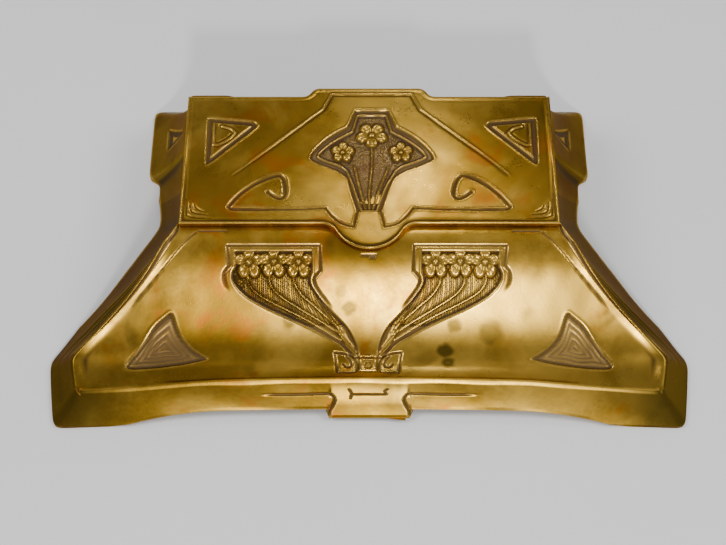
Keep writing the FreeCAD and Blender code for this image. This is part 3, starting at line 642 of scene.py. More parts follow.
def tray_relief(x, y):
    """Height of the tray's ornament over its plain face, and how much of each place is ground."""
    ax = np.abs(x + (1.1 - 0.5 * smooth(-44, -56, y)) * smooth(76, 69, np.abs(x)))
    h = 0.10 * ripple(x, y, 52, 15) + 0.03 * ripple(x, y, 13, 18)
    d, side, share = near(ax, y, PANEL_GROOVE)
    ends = smooth(0, 0.07, share) * smooth(1, 0.93, share)
    h -= 0.75 * bell(d, 0.85) * ends
    ground = 0.85 * bell(d, 0.8) * ends
    s = signed(ax, y, PANEL_RECESS)
    h += 0.2 * bell(s - 0.75, 0.8) * smooth(-36, -30, y) - 1.15 * smooth(0.25, -0.55, s)
    inside = smooth(-0.3, -0.9, s)
    ground = np.maximum(ground, smooth(0.2, -0.3, s) * (0.35 + 0.65 * smooth(-1.5, -0.6, s)))
    weave = inside * (0.1 + 0.01 * near(ax, y, HATCH, 70)[0])
    for stem in TRAY_STEMS:
        d, side, share = near(ax, y, stem)
        width = 0.6 + 0.25 * smooth(0.6, 0.0, share)
        h += 0.65 * bell(d, width) * inside
        weave *= smooth(0.3, 0.5, d)
        ground *= 1 - 0.85 * bell(d, width)
    run = 0.6 * y - 0.8 * ax
    collar = smooth(-36.6, -37.4, run) * smooth(-40.4, -39.4, run) * inside
    ribs = 0.5 + 0.5 * np.sin((ax * 0.66 - y * 0.75) * 5.2)
    h += (0.5 + 0.5 * ribs) * collar
    ground *= 1 - (0.45 + 0.5 * ribs) * collar
    h += 0.3 * ribs * inside * smooth(-51, -54, y)
    weave *= smooth(-46, -45, y)
    flowers = np.zeros(x.shape)
    for centre in TRAY_FLOWERS:
        flowers = np.maximum(flowers, blossom(ax, y, centre, 7.6, 7.0, 0.94))
    bloom = smooth(0.0, 0.25, flowers) * smooth(0.0, -0.4, s)
    h = h * (1 - bloom) + (-1.2 + 1.35 * flowers) * bloom
    ground *= 1 - 0.92 * bloom
    weave *= smooth(0.5, 0.0, bloom)
    for path, depth, half in ((SCROLL, 0.75, 0.7), (SCROLL_HOOK, 0.7, 0.7), (SLOPE_LINE, 0.4, 0.6)):
        d, side, share = near(ax, y, path)
        fade = smooth(1.0, 0.8, share) if path is SLOPE_LINE else 1.0
        h -= depth * bell(d, half) * fade
        ground = np.maximum(ground, 0.85 * bell(d, half) * fade)
    boss = np.maximum(ax - 3.9, np.abs(y + 61.4) - 3.1)
    h += 0.45 * smooth(0.25, -0.35, boss) - 0.45 * bell(boss - 0.55, 0.6)
    h += 0.5 * smooth(0.3, -0.3, np.maximum(ax - 2.1, np.abs(y + 57.2) - 0.5))
    ring = np.abs(np.hypot(ax, y + 61.6) - 1.5)
    h -= 0.4 * bell(ring, 0.55)
    ground = np.maximum(ground, 0.7 * bell(ring, 0.5))
    s = signed(ax, y, TRAY_TRIANGLE)
    h += 0.12 * bell(s - 0.6, 0.8) - 0.6 * smooth(0.3, -0.5, s) + 0.2 * smooth(-0.9, -1.8, s)
    rings = np.cos((s + 1.1 + 0.5 * ripple(x, y, 17, 4)) * 3.3) * smooth(-0.9, -1.6, s)
    h -= 0.09 * rings
    stepped = 0.7 + 0.22 * rings + 0.3 * bell(s + 0.5, 0.8)
    ground = np.maximum(ground, smooth(0.1, -0.4, s) * stepped)
    for left, right, level in TRAY_NICKS:
        beside = np.maximum(np.maximum(left - x, x - right), np.abs(y - level) - 0.15)
        h -= 0.4 * smooth(0.5, -0.1, beside)
        ground = np.maximum(ground, 1.2 * smooth(0.6, 0, beside))
    return h, ground, weave


# ---------------- ornament of the skirt

APRON_GROOVE = line([(52, 11.6), (36, 11.4), (20, 11.6), (17.2, 10.8), (16.4, 9.4), (17.4, 7.6),
                     (19.2, 5.4), (19.6, 3.2)])
APRON_BAR = line([(-9.6, 13.2), (-8.4, 11.6), (-8.9, 10.0)], [(-8.9, 10.0), (-8.4, 11.4)],
                 [(-8.4, 11.4), (8, 11.4)], [(8, 11.4), (7.2, 12.4), (8.4, 13.2)])
WING_TRIANGLE = line([(104.8, 71), (94.8, 60.6)], [(94.8, 60.6), (104.6, 58.6)],
                     [(104.6, 58.6), (104.8, 71)])


def skirt_relief(points):
    """Height of the skirt's ornament over its plain face, and how much of each place is ground."""
    x, y, z = points[..., 0], points[..., 1], points[..., 2]
    ax = np.abs(x)
    h = 0.12 * ripple(x + 0.7 * y, z * 1.5 + y, 48, 25)
    ground = np.zeros(x.shape)
    front = smooth(-70, -74, y) * smooth(140, 134, ax)
    d, side, share = near(ax, z, APRON_GROOVE)
    fade = smooth(0, 0.2, share)
    h -= 0.5 * bell(d, 0.7) * fade * front
    ground = np.maximum(ground, 0.8 * bell(d, 0.7) * fade * front)
    edge = np.interp(z, [3, 5.4, 7.6, 9.4, 10.8, 12], [19.6, 19.2, 17.4, 16.4, 17.2, 19])
    h += 0.7 * smooth(0.2, -1.2, ax - edge) * smooth(16.5, 7.5, z) * front
    s = signed(ax, y, WING_TRIANGLE, 5.0)
    h += 0.6 * smooth(-1.8, -2.6, s) - 1.0 * smooth(0.4, -0.6, s)
    ground = np.maximum(ground, 0.9 * smooth(0.2, -0.5, s) * smooth(-2.6, -1.8, s))
    d = near(x, z, APRON_BAR, 4.0)[0]
    h -= 0.45 * bell(d, 0.5) * front
    ground = np.maximum(ground, 0.8 * bell(d, 0.5) * front)
    return h, ground


# ---------------- the brass shell and the lid

def on_left(foot, top, mirrored):
    """Foot and top points, with the mirrored ones turned over to the left side."""
    flip = np.ones((len(foot), 2))
    flip[mirrored, 0] = -1
    return foot * flip, top * flip


def lift_wall(wall, h, share, tall, fade):
    """Raises a wall by its relief, which fades out at its upper and lower edges."""
    calm = smooth(0, fade, (1 - share) * tall) * smooth(0, 1.2, share * tall)
    wall += normals(wall) * (h * calm)[..., None]


def front_columns():
    """The front skirt's columns from left neck to right neck, and how many each part has."""
    c = CORNERS
    front_half = spaced((0, 80, 0.52), (80, c[1] - 6, 0.86), (c[1] - 6, c[1], 0.36))
    side = spaced((c[1], c[1] + 4, 0.34), (c[1] + 4, c[2], 0.8), (c[2], c[3], 0.62),
                  (c[3], c[4], 0.61))
    neck = spaced((c[4], (c[4] + c[5]) / 2, 0.7))
    right = np.concatenate([front_half, side[1:], neck[1:]])
    foot, top = pick(np.concatenate([right[:0:-1], right]))
    foot, top = on_left(foot, top, slice(len(right) - 1))
    return foot, top, len(front_half), len(side), len(neck)


def plain_tray(seam, width, depth):
    """The tray within its seam, and how far in from the sides and the front each place lies."""
    left, right, front = seam[:depth][::-1], seam[-depth:], seam[depth - 1:depth - 1 + width]
    across = ((front[:, 0] - front[0, 0]) / (front[-1, 0] - front[0, 0]))[:, None]
    base = left[:, None] * (1 - across) + right[:, None] * across
    bow = front - base[0]
    back = left[:, 1] - left[0, 1]
    tray = base + bow[None] * (1 - smooth(0, 14, back))[:, None, None]
    x, y = tray[..., 0], tray[..., 1]
    inward = right[:, None, 0] - np.abs(x)
    behind = y - front[:, 1]
    follow = y + (CREST[0] - front[:, 1]) * smooth(20, 0, behind)
    lift = smooth(7.0, 0.4, inward)
    z = section(follow) * (1 - lift) + rim_height(y) * lift
    crest = smooth(3.0, 0.0, behind)
    z = z * (1 - crest) + front[:, 2] * crest
    z[0] = front[:, 2]
    z[:, 0], z[:, -1] = left[:, 2], right[:, 2]
    return np.stack([x, y, z], -1), follow, inward, behind


def soften_seam(skirt, tray, along, width, depth):
    """Sinks both faces a little towards their seam, which leaves a worn, round edge."""
    tray_n = normals(tray)
    seam_n = np.concatenate([tray_n[::-1, 0], tray_n[0, 1:-1], tray_n[:, -1]])
    ours = normals(skirt)[-1, along]
    both = seam_n + ours
    both /= np.linalg.norm(both, axis=1, keepdims=True)
    lean = np.clip((ours * both).sum(1), 0.3, 1)
    bend = -both * (np.sqrt(1 - lean ** 2) / lean)[:, None]
    count = np.arange(len(bend))[:, None]
    bend *= smooth(0, 10, count) * smooth(0, 10, count[::-1])
    lines = skirt[::-1, along].transpose(1, 0, 2)
    skirt[::-1, along] += rounded_seam(lines, bend).transpose(1, 0, 2)
    front_fall = rounded_seam(tray.transpose(1, 0, 2), bend[depth - 1:depth - 1 + width])
    left_fall = rounded_seam(tray, bend[:depth][::-1])
    right_fall = rounded_seam(tray[:, ::-1], bend[-depth:])[:, ::-1]
    falls = np.stack([front_fall.transpose(1, 0, 2), left_fall, right_fall])
    deepest = np.argmax(np.linalg.norm(falls, axis=3), 0)
    tray += np.take_along_axis(falls, deepest[None, ..., None], 0)[0]


def side_folds(skirt):
    """Height and ground of the leaf-shaped folds that run down the skirt's sides."""
    y = skirt[..., 1]
    out = np.linalg.norm(skirt[..., :2] - skirt[-1:, :, :2], axis=2)
    along = np.clip((2 - y) / 66, 0, 1)
    leaf = smooth(0.0, 0.3, along) * smooth(1.0, 0.55, along) * smooth(-70, -60, y)
    flute = bell(out - 1.2 - 1.5 * leaf, 0.4 + 1.6 * leaf) * smooth(0.02, 0.15, leaf)
    folds = 0.7 * bell(out - 5.6, 1.1) - 0.5 * bell(out - 7.6, 1.3) + 0.5 * bell(out - 9.6, 1.0)
    ground = np.maximum(0.9 * flute, 0.6 * leaf * bell(out - 7.6, 1.5))
    return leaf * folds - 1.2 * flute, ground


def side_flute(y, inward):
    """The hollow that runs down inside each side edge of the tray."""
    along = np.clip((-3 - y) / 48, 0, 1)
    leaf = smooth(0.0, 0.16, along) * (1 - along) ** 0.7
    return bell(inward - 1.2 - 1.6 * leaf, 0.3 + 1.5 * leaf) * smooth(0.0, 0.1, leaf)


def shell():
    """Front skirt and tray, which share the points of their seam, with ground and weave."""
    foot, top, front_count, depth, neck_count = front_columns()
    in_front = np.abs(np.arange(len(foot)) - len(foot) // 2) < front_count
    high, low = top_height(foot, top, in_front), bottom_height(foot, top)
    share = np.linspace(0, 1, SKIRT_ROWS)[:, None]
    skirt = on_skirt(foot[None], top[None], low + (high - low) * share)
    along, width = slice(neck_count - 1, len(foot) - neck_count + 1), 2 * front_count - 1
    tray, follow, inward, behind = plain_tray(skirt[-1, along], width, depth)
    x, y, z = (tray[..., k].copy() for k in range(3))
    soften_seam(skirt, tray, along, width, depth)

    h, ground = skirt_relief(skirt)
    folds, fold_ground = side_folds(skirt)
    ground = np.maximum(ground, fold_ground)
    lift_wall(skirt, h + folds, share, high - low, 1.6)

    drawn_on = np.interp(follow, *tray_section())
    h, tray_ground, weave = tray_relief(x, y + 0.55 * (z - drawn_on) * smooth(6, 12, inward))
    flute = side_flute(y, inward)
    h = h * smooth(0.2, 2.4, inward) * smooth(0.2, 2.0, behind) - 0.8 * flute
    tray_ground = np.maximum(tray_ground, 0.9 * smooth(0.1, 0.5, flute))
    tray += normals(tray) * h[..., None]
    return skirt, ground, tray, tray_ground, weave


def turned_in(wall):
    """A wall with one row more, from its lower edge to its inner face."""
    inward = -normals(wall)[:1]
    inward[..., 2] = 0
    step = LIP_REACH * inward / np.maximum(np.linalg.norm(inward, axis=2, keepdims=True), 0.3)
    return np.vstack([wall[:1] + step, wall])


def row_more(values):
    """Values of a wall, with the first row again for the row that turned_in adds."""
    return np.vstack([values[:1], values])


def marks(surface, ground, painted_shade_and_stain, weave=0.0):
    """How hollow, rubbed, sunk and hatched each place is, and how much painted shade and stain browns
    it.
    """
    bend = 3.2 * hollows(surface)
    shallow = 1 - 0.3 * ground - 0.35 * smooth(0.06, 0.09, np.asarray(weave))
    return {"cavity": smooth(0.02, 0.38, bend) * shallow, "wear": smooth(0.12, 0.60, -bend),
            "ground": ground, "painted_shade_and_stain": painted_shade_and_stain, "weave": weave}


# Each mark's place, radius and strength, and the place and radius of the dried rims
BLOTS = [(36, -57, 5.2, 1.0), (37.5, -62.5, 4.4, 0.9), (40.5, -46.5, 4.2, 0.8),
         (58, -49.5, 7.5, 0.7), (-9.6, -40, 4.4, 0.85), (-13.4, -33.6, 3.4, 0.5),
         (-38, -45, 4.0, 0.7), (-66, -60, 12, 0.25), (112, -50, 10, 0.3),
         (-120, -66, 12, 0.4), (17, -58.5, 5.5, 0.35), (78, -26, 8, 0.2)]
DRIED_RIMS = [(36, -57, 2.0), (37.5, -62.5, 1.7)]


def blots(x, y):
    """Old ink and water marks on the tray."""
    total = np.zeros(x.shape)
    for bx, by, radius, depth in BLOTS:
        far = np.hypot(x - bx, (y - by) * 1.25) + 0.10 * radius * ripple(x, y, radius, bx)
        total = np.maximum(total, depth * smooth(1.1 * radius, 0.5 * radius, far))
    for bx, by, radius in DRIED_RIMS:
        total += 0.3 * bell(np.hypot(x - bx, (y - by) * 1.25) - radius, 0.6)
    return np.clip(total, 0, 1)


def build_shell():
    """The casting: front skirt, tray, back with its rim, and the CAD's inner faces."""
    skirt, ground, tray, tray_ground, weave = shell()
    # painted shade: a brown wash over the skirt, light all round and strongest on its outer sides and
    # along the front apron, where these faces reflect little light
    aside = np.abs(skirt[..., 0]) - 0.5 * np.clip(-60 - skirt[..., 1], 0, 40)
    painted_shade_and_stain = 0.32 + 0.68 * smooth(92, 128, aside)
    painted_shade_and_stain = np.maximum(painted_shade_and_stain, smooth(-66, -58, skirt[..., 1]))
    wall = turned_in(skirt)
    make("shell_skirt_front", [(wall, marks(wall, row_more(ground), row_more(painted_shade_and_stain)))])
    x, y = np.abs(tray[..., 0]), tray[..., 1]
    # painted shade: the valley, which reflects little light, is browned, and the tray darkens towards
    # both ends; the blots laid over it are real ink and water stains
    painted_shade_and_stain = 0.28 * smooth(-46, -60, y) + 0.25 * smooth(60, 135, x)
    painted_shade_and_stain = np.maximum(painted_shade_and_stain, blots(tray[..., 0], y))
    make("shell_tray", [(tray, marks(tray, tray_ground, painted_shade_and_stain, weave))])
    back_of_box()
    cad_part("body_shell", "shell_inside", lambda c, n: ~outer_face(c, n), "stand", under_tray)


def back_of_box():
    """The skirt round the box and the rear feet, and the flat rim that the lid shuts on."""
    c = CORNERS
    middle = (c[4] + c[5]) / 2
    right = spaced((middle, c[5], 0.8), (c[5], c[6], 0.6), (c[6], c[7], 0.7), (c[7], c[8], 0.7),
                   (c[8], c[9], 0.6), (c[9], c[9] + 48, 0.7), (c[9] + 48, c[9] + 51, 0.2),
                   (c[9] + 51, c[10], 0.9))
    foot, top = pick(np.concatenate([right, right[-2::-1]]))
    foot, top = on_left(foot, top, slice(len(right), None))
    high, low = np.full(len(foot), RIM), bottom_height(foot, top)
    share = np.linspace(0, 1, BACK_ROWS)[:, None]
    wall = on_skirt(foot[None], top[None], low + (high - low) * share)
    h, ground = skirt_relief(wall)
    lift_wall(wall, h, share, high - low, 1.4)
    cut = (np.abs(wall[..., 0]) < MORTISE_HALF) & (wall[..., 2] > MORTISE_Z) & (wall[..., 1] > 60)
    wall[..., 1] = np.where(cut, np.minimum(wall[..., 1], MORTISE_Y), wall[..., 1])
    # painted shade: the back skirt is browned, more on its outer sides, which face away from the lights
    painted_shade_and_stain = 0.55 + 0.35 * smooth(84, 100, np.abs(wall[..., 0]))
    full = turned_in(wall)
    make("shell_skirt_back", [(full, marks(full, row_more(ground), row_more(painted_shade_and_stain)))])

    neck_foot, neck_top = pick(spaced((c[4], middle, 1.0)))
    seam = on_skirt(neck_foot, neck_top, np.full(len(neck_foot), RIM))
    left = seam[::-1] * (-1, 1, 1)
    edge = np.vstack([seam[:-1], wall[-1], left[1:]])
    inner = edge.copy()
    inner[:, 0] = np.clip(edge[:, 0], -BOX_SIDE, BOX_SIDE)
    inner[:, 1] = np.clip(edge[:, 1], BOX_FRONT, BOX_BACK)
    t = np.linspace(0, 1, 7)[:, None, None]
    ring = edge * (1 - t) + inner * t
    ring[..., 2] -= 0.25 * bell(t[..., 0] * 4, 1.2)
    wave = 0.06 * ripple(ring[..., 0], ring[..., 1], 12, 31)
    ring[..., 2] += wave * smooth(0, 0.3, t[..., 0]) * smooth(1, 0.7, t[..., 0])
    make("shell_box_rim", [(ring, {"painted_shade_and_stain": 0.3, "ground": 0.15, "cavity": 0.2})])


def outer_face(centres, facing):
    """True for the shell's faces that the relief meshes stand for."""
    x, y, z = centres.T
    ax = np.abs(x)
    tray = (np.abs(z - np.interp(y, *tray_section())) < 0.6) & (y < 2.2) & (ax < 146)
    lips = (y < -48) & (y > -92) & (ax > 120) & (z > 12) & (z < 17.5)
    flat = (z > RIM - 0.05) & (facing[:, 2] > 0.9)
    around = np.zeros(len(x), bool)
    around_distance = np.full(len(x), 9.0)
    foot, top = half_outline(FOOT, FOOT_FRONT), half_outline(TOP, TOP_FRONT)
    for level in np.unique(np.round(z, 1)):
        some = np.abs(z - level) < 0.06
        share = float(share_at(np.array(level)))
        right = foot * (1 - share) + top * share
        outline = np.vstack([right, right[:0:-1] * (-1, 1)])
        s = signed(x[some], y[some], outline, 6.0)
        around_distance[some] = s
        bow = FRONT_BOW * (1 + share) * np.clip(1 - (x[some] / right[1, 0]) ** 2, 0, 1)
        front = (y[some] < -60) & (np.abs(y[some] - right[0, 1] - bow) < 0.8)
        around[some] = (np.abs(s) < 0.55) | front
    sloped = around & (facing[:, 2] > -0.6)
    mortise = (ax < MORTISE_HALF + 0.2) & (y > MORTISE_Y - 0.2) & (z > MORTISE_Z - 0.1)
    apron = (ax < 21) & (y < -78) & (z > 1.5) & (facing[:, 2] > -0.8)
    under = (np.abs(around_distance) < 4.5) & (facing[:, 2] < -0.6) & (z < 7)
    return tray | lips | flat | sloped | mortise | apron | under


def under_tray(points):
    """Heights of the inner faces, kept well below the tray where its crest bows forward."""
    x, y, z = points.T
    ax = np.abs(x)
    front_foot, front_top = pick(np.linspace(0, CORNERS[1], 60))
    seam = on_skirt(front_foot, front_top, crest_height(front_foot[:, 0] * 0.93))
    edge = np.interp(ax, seam[:, 0], seam[:, 1])
    follow = y + (CREST[0] - edge) * smooth(20, 0, y - edge)
    below = (y > edge - 0.5) & (y < -4) & (ax < 143) & (z > 6.5)
    return np.where(below, np.minimum(z, section(follow) - 2.8), z)


def lid_under(centres, facing):
    """True for the lid's lower faces and the walls of the seat and holes in them."""
    x, y, z = centres.T
    upright = np.abs(facing[:, 2]) < 0.5
    within = (np.abs(x) < 86) & (y > 0) & (y < 64)
    return (z < 49) & ((facing[:, 2] < -0.5) | (upright & within))


def build_lid():
    """The lid: its upper face and edge in relief, and the CAD's lower faces."""
    surface, ground, weave = lid_top()
    x, y = surface[..., 0], surface[..., 1]
    # painted shade and painted reflection: the flat lid is browned towards its back, its left end and
    # its back right corner, where it reflects a darker room
    painted_shade_and_stain = 0.30 * smooth(0, 60, y) + 0.10 * smooth(10, -80, x)
    painted_shade_and_stain += 0.22 * smooth(10, 60, x) * smooth(10, 45, y)
    face = (surface, marks(surface, ground, painted_shade_and_stain, weave))
    edge = (lid_wall(surface), {"wear": 0.35, "painted_shade_and_stain": 0.25})
    make("lid_face", [face, edge], "lid", "lid_plate")
    cad_part("lid_plate", "lid_underside", lid_under, "lid")


build_shell()
build_lid()


# ---------------- materials

class Paint:
    """A node material, with short names for the nodes it uses."""

    def __init__(self, name):
        self.material = bpy.data.materials.new(name)
        self.material.use_nodes = True
        self.tree = self.material.node_tree
        self.shader = self.tree.nodes["Principled BSDF"]
        self.place = self.tree.nodes.new("ShaderNodeTexCoord").outputs["Object"]

    def plug(self, socket, value):
        """Links a socket to another one, or sets its value; None leaves it as it is."""
        if isinstance(value, bpy.types.NodeSocket):
            self.tree.links.new(value, socket)
        elif value is not None:
            socket.default_value = value

    def node(self, kind, inputs, output=0, **settings):
        """One output of a new node, made with these inputs and settings."""
        made = self.tree.nodes.new(kind)
        for key, value in settings.items():
            setattr(made, key, value)
        for key, value in inputs.items():
            self.plug(made.inputs[key], value)
        return made.outputs[output]

    def noise(self, scale, detail=4.0, rough=0.55, stretch=None, warp=0.0):
        place = self.place
        if stretch:
            place = self.node("ShaderNodeMapping", {"Scale": stretch, "Vector": place})
        return self.node("ShaderNodeTexNoise", {"Scale": scale, "Detail": detail, "Roughness": rough,
                                                "Distortion": warp, "Vector": place})

    def cells(self, scale):
        return self.node("ShaderNodeTexVoronoi", {"Scale": scale, "Vector": self.place}, "Distance")

    def mark(self, name):
        """One of the numbers that marks() gave to each point of a mesh."""
        return self.node("ShaderNodeAttribute", {}, "Fac", attribute_name=name)

    def math(self, operation, a, b=None):
        return self.node("ShaderNodeMath", {0: a, 1: b}, operation=operation)

    def times(self, a, b):
        return self.math("MULTIPLY", a, b)

    def spread(self, value, low, high, first=0.0, last=1.0):
        """The value carried over from low...high to first...last, with eased ends."""
        limits = {"From Min": low, "From Max": high, "To Min": first, "To Max": last}
        return self.node("ShaderNodeMapRange", {**limits, "Value": value},
                         interpolation_type="SMOOTHSTEP")

    def mix(self, share, a, b):
        """Colour a, going over to colour b as the share rises to 1."""
        a, b = (c if isinstance(c, bpy.types.NodeSocket) else (*c, 1.0) for c in (a, b))
        return self.node("ShaderNodeMix", {0: share, 6: a, 7: b}, 2, data_type="RGBA")

    def bump(self, height, distance, strength=1.0, under=None):
        return self.node("ShaderNodeBump", {"Strength": strength, "Distance": distance,
                                            "Height": height, "Normal": under})

    def finish(self, colour, roughness, normal, metallic=1.0):
        """The material, with its shader's main inputs joined up."""
        for key, value in (("Base Color", colour), ("Roughness", roughness), ("Normal", normal),
                           ("Metallic", metallic)):
            self.plug(self.shader.inputs[key], value)
        return self.material


def old_brass(name, gold, olive, russet, grime, stain_and_shade_brown, earth, gloss):
    """Cast brass with a worn lacquer: gold where it is rubbed, brown in every hollow, and browned
    further with painted shade where the meshes' mark asks for it.
    """
    p = Paint(name)
    broad = p.noise(17.0, 5.0, 0.6, warp=0.4)
    patchy = p.noise(62.0, 3.0, 0.55, warp=0.6)
    fine = p.noise(520.0, 4.0, 0.6)
    grain = p.noise(2400.0, 2.0, 0.5)
    colour = p.mix(p.spread(broad, 0.38, 0.62), olive, gold)
    rusty = p.times(p.spread(patchy, 0.52, 0.70), p.spread(broad, 0.62, 0.42))
    colour = p.mix(p.times(rusty, 0.75), colour, russet)
    blot = p.noise(41.0, 2.0, 0.5, warp=0.6)
    stained = p.spread(blot, 0.58, 0.74)
    colour = p.mix(p.times(stained, 0.45), colour, stain_and_shade_brown)
    specks = p.spread(p.cells(230.0), 0.10, 0.03)
    freckle = p.times(specks, p.spread(patchy, 0.54, 0.68))
    colour = p.mix(p.times(freckle, 0.3), colour, grime)
    # painted shade: the mark named here browns the colour, strongest on the skirt's sides, the front
    # apron, the tray's valley and the lid's back; on the tray the same mark also holds real ink and
    # water stains
    colour = p.mix(p.times(p.mark("painted_shade_and_stain"), 0.9), colour, stain_and_shade_brown)
    worn = p.times(p.mark("wear"), p.spread(fine, 0.25, 0.65, 0.5, 1.0))
    bright = tuple(min(1.0, 1.15 * c + 0.05) for c in gold)
    colour = p.mix(p.times(worn, 0.5), colour, bright)
    wavy = p.math("ADD", p.mark("weave"), p.times(fine, 0.004))
    lines = p.math("SINE", p.times(wavy, 760.0))
    stipple = p.spread(p.cells(1050.0), 0.1, 0.55, 1.0, -1.0)
    tray_work = p.spread(p.mark("weave"), 0.06, 0.08)
    hatch = p.math("ADD", p.times(lines, tray_work),
                   p.times(stipple, p.math("SUBTRACT", 1.0, tray_work)))
    hatch = p.times(hatch, p.spread(p.mark("weave"), 0.005, 0.03))
    sunk = p.times(p.mark("ground"), p.spread(hatch, -0.8, 0.8, 1.5, 0.3))
    colour = p.mix(p.times(sunk, 0.85), colour, earth)
    colour = p.mix(p.times(p.mark("cavity"), 0.85), colour, grime)
    rough = p.spread(p.math("ADD", p.times(patchy, 0.6), p.times(fine, 0.4)),
                     0.2, 0.8, gloss, gloss + 0.10)
    for key, more in (("cavity", 0.22), ("ground", 0.15), ("wear", -0.06)):
        rough = p.math("ADD", rough, p.times(p.mark(key), more))
    pits = p.bump(p.spread(p.cells(310.0), 0.16, 0.0), 0.00004, 0.3)
    skin = p.bump(fine, 0.00003, 0.5, pits)
    skin = p.bump(grain, 0.00001, 0.5, skin)
    skin = p.bump(hatch, 0.00022, 1.0, skin)
    metal = p.math("SUBTRACT", 1.0, p.times(p.mark("cavity"), 0.45))
    # where the painted shade is deep the metal is also made a little less mirror-like
    metal = p.times(metal, p.spread(p.mark("painted_shade_and_stain"), 0.55, 0.95, 1.0, 0.8))
    p.shader.inputs["Specular Tint"].default_value = (0.50, 0.38, 0.20, 1.0)
    p.shader.inputs["IOR"].default_value = 1.25
    return p.finish(colour, rough, skin, metal)


CAST = old_brass("aged_cast_brass", gold=(0.62, 0.37, 0.050), olive=(0.33, 0.175, 0.012),
                 russet=(0.42, 0.13, 0.008), grime=(0.038, 0.020, 0.008),
                 stain_and_shade_brown=(0.058, 0.039, 0.006), earth=(0.175, 0.118, 0.070), gloss=0.25)


def sheet_brass(name, gold, brown):
    """Rolled brass plate with fine draw lines, browned by ink and handling."""
    p = Paint(name)
    lines = p.noise(900.0, 3.0, 0.6, stretch=(0.06, 1.0, 1.0))
    patchy = p.noise(55.0, 5.0, 0.6, warp=0.5)
    fine = p.noise(700.0, 3.0, 0.6)
    colour = p.mix(p.spread(patchy, 0.42, 0.66), gold, brown)
    colour = p.mix(p.times(p.spread(fine, 0.60, 0.72), 0.5), colour, brown)
    rough = p.spread(lines, 0.3, 0.7, 0.26, 0.44)
    skin = p.bump(lines, 0.00004, 0.6)
    return p.finish(colour, rough, p.bump(fine, 0.00005, 0.4, skin))


def dark_fitting(name, metal, brown):
    """Turned brass and wire gone brown, brighter where it is touched."""
    p = Paint(name)
    turned = p.noise(1500.0, 2.0, 0.5, stretch=(1.0, 0.2, 0.2))
    patchy = p.noise(180.0, 4.0, 0.6)
    colour = p.mix(p.spread(patchy, 0.35, 0.65), metal, brown)
    rough = p.spread(patchy, 0.3, 0.7, 0.28, 0.5)
    return p.finish(colour, rough, p.bump(turned, 0.00005, 0.6))


def green_baize(name):
    """Fuzzy wool cloth, faded in patches."""
    p = Paint(name)
    fibres = p.noise(1300.0, 6.0, 0.7)
    worn = p.noise(40.0, 4.0, 0.6)
    colour = p.mix(p.spread(fibres, 0.3, 0.7), (0.020, 0.085, 0.030), (0.045, 0.155, 0.060))
    colour = p.mix(p.times(p.spread(worn, 0.5, 0.75), 0.6), colour, (0.12, 0.13, 0.07))
    p.shader.inputs["Sheen Weight"].default_value = 0.4
    return p.finish(colour, p.spread(fibres, 0.3, 0.7, 0.85, 1.0), p.bump(fibres, 0.0003, 0.8), 0.0)


def old_glass(name):
    """Thick pressed glass, a little green, with ink stains dried on it."""
    p = Paint(name)
    waves = p.noise(90.0, 3.0, 0.5)
    film = p.noise(140.0, 5.0, 0.65, warp=0.8)
    colour = p.mix(p.spread(film, 0.58, 0.74), (0.90, 0.96, 0.93), (0.30, 0.34, 0.42))
    p.shader.inputs["Transmission Weight"].default_value = 0.9
    p.shader.inputs["IOR"].default_value = 1.50
    return p.finish(colour, p.spread(film, 0.35, 0.75, 0.03, 0.22), p.bump(waves, 0.0004, 0.5), 0.0)


SHEET = sheet_brass("rolled_brass_plate", (0.62, 0.43, 0.15), (0.26, 0.15, 0.05))
FITTING = dark_fitting("browned_fittings", (0.45, 0.31, 0.12), (0.16, 0.09, 0.04))
BAIZE = green_baize("green_baize")
GLASS = old_glass("pressed_glass")


def paint(piece, material):
    """Gives a piece this material alone."""
    piece.data.materials.clear()
    piece.data.materials.append(material)


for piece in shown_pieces():
    if piece.name.startswith("shell_") or piece.name.startswith("lid_"):
        paint(piece, CAST)
for name in ("well_carrier", "nib_tray", "base_plate"):
    paint(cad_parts[name], SHEET)
for name in ("base_screws", "carrier_screws", "hinge_body_leaf", "hinge_body_rivets", "hinge_pin",
             "hinge_lid_leaf", "hinge_lid_rivets"):
    paint(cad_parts[name], FITTING)
for name in ("ink_well_left", "ink_well_right"):
    paint(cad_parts[name], GLASS)
paint(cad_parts["base_baize"], BAIZE)


# ---------------- floor, lights and camera

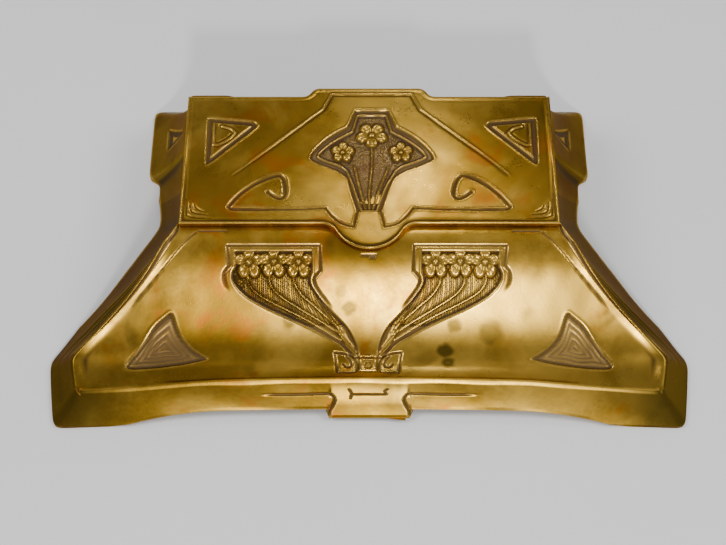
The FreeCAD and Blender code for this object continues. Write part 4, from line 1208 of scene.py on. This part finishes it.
def stage_sweep():
    """A pale paper floor that curves up far behind the stand."""
    y = np.concatenate([np.linspace(-2600, 900, 30), 900 + 500 * np.sin(np.linspace(0.1, 1.571, 12)),
                        np.full(8, 1400.0)])
    z = np.concatenate([np.zeros(30), 500 * (1 - np.cos(np.linspace(0.1, 1.571, 12))),
                        np.linspace(560, 1500, 8)])
    x = np.linspace(-2600, 2600, 30)
    points = np.stack([np.broadcast_to(x, (len(y), 30)), np.repeat(y[:, None], 30, 1),
                       np.repeat(z[:, None], 30, 1)], -1)
    mesh = bpy.data.meshes.new("paper_floor")
    mesh.from_pydata((points.reshape(-1, 3) * MM).tolist(), [], grid_faces(len(y), 30).tolist())
    mesh.shade_smooth()
    floor = add("paper_floor", mesh)
    p = Paint("pale_paper")
    clouds = p.noise(3.0, 3.0, 0.5)
    fibre = p.noise(300.0, 3.0, 0.6)
    colour = p.mix(p.spread(clouds, 0.3, 0.7), (0.80, 0.80, 0.80), (0.85, 0.85, 0.845))
    paint(floor, p.finish(colour, 0.85, p.bump(fibre, 0.0004, 0.12), 0.0))


def area_light(name, place, aim, size, power):
    """A rectangular light at a place, turned towards its aim."""
    data = bpy.data.lights.new(name, "AREA")
    data.shape = "RECTANGLE"
    data.size, data.size_y = size
    data.energy = power
    lamp = add(name, data)
    lamp.location = place
    away = np.array(place) - np.array(aim)
    away /= np.linalg.norm(away)
    lamp.rotation_euler = (math.acos(away[2]), 0, math.atan2(away[1], away[0]) + math.pi / 2)


stage_sweep()
area_light("front_softbox", (0.05, -1.17, 0.80), (0.0, -0.04, 0.03), (0.12, 0.10), 8.6)
area_light("rear_glow", (0.028, 0.178, 0.35), (0.017, 0.0, 0.05), (0.05, 0.03), 0.13)
area_light("overhead_panel", (0.0, 0.20, 1.15), (0.0, 0.0, 0.0), (0.9, 0.35), 0.3)
area_light("left_wall", (-0.8, -0.1, 1.0), (0.0, 0.0, 0.0), (0.4, 0.4), 5.5)
area_light("right_wall", (0.8, -0.1, 1.0), (0.0, 0.0, 0.0), (0.4, 0.4), 5.5)

world = bpy.data.worlds.new("soft_room")
world.use_nodes = True
world.node_tree.nodes["Background"].inputs["Color"].default_value = (0.86, 0.86, 0.88, 1)
world.node_tree.nodes["Background"].inputs["Strength"].default_value = 0.42
bpy.context.scene.world = world

camera_data = bpy.data.cameras.new("camera")
camera_data.sensor_width = 36.0
camera_data.lens = 64.46
camera_data.clip_start = 0.01
camera = add("camera", camera_data)
camera.location = (-0.003, -0.3149, 0.5801)
camera.rotation_euler = (math.radians(28), 0, 0)
bpy.context.scene.camera = camera
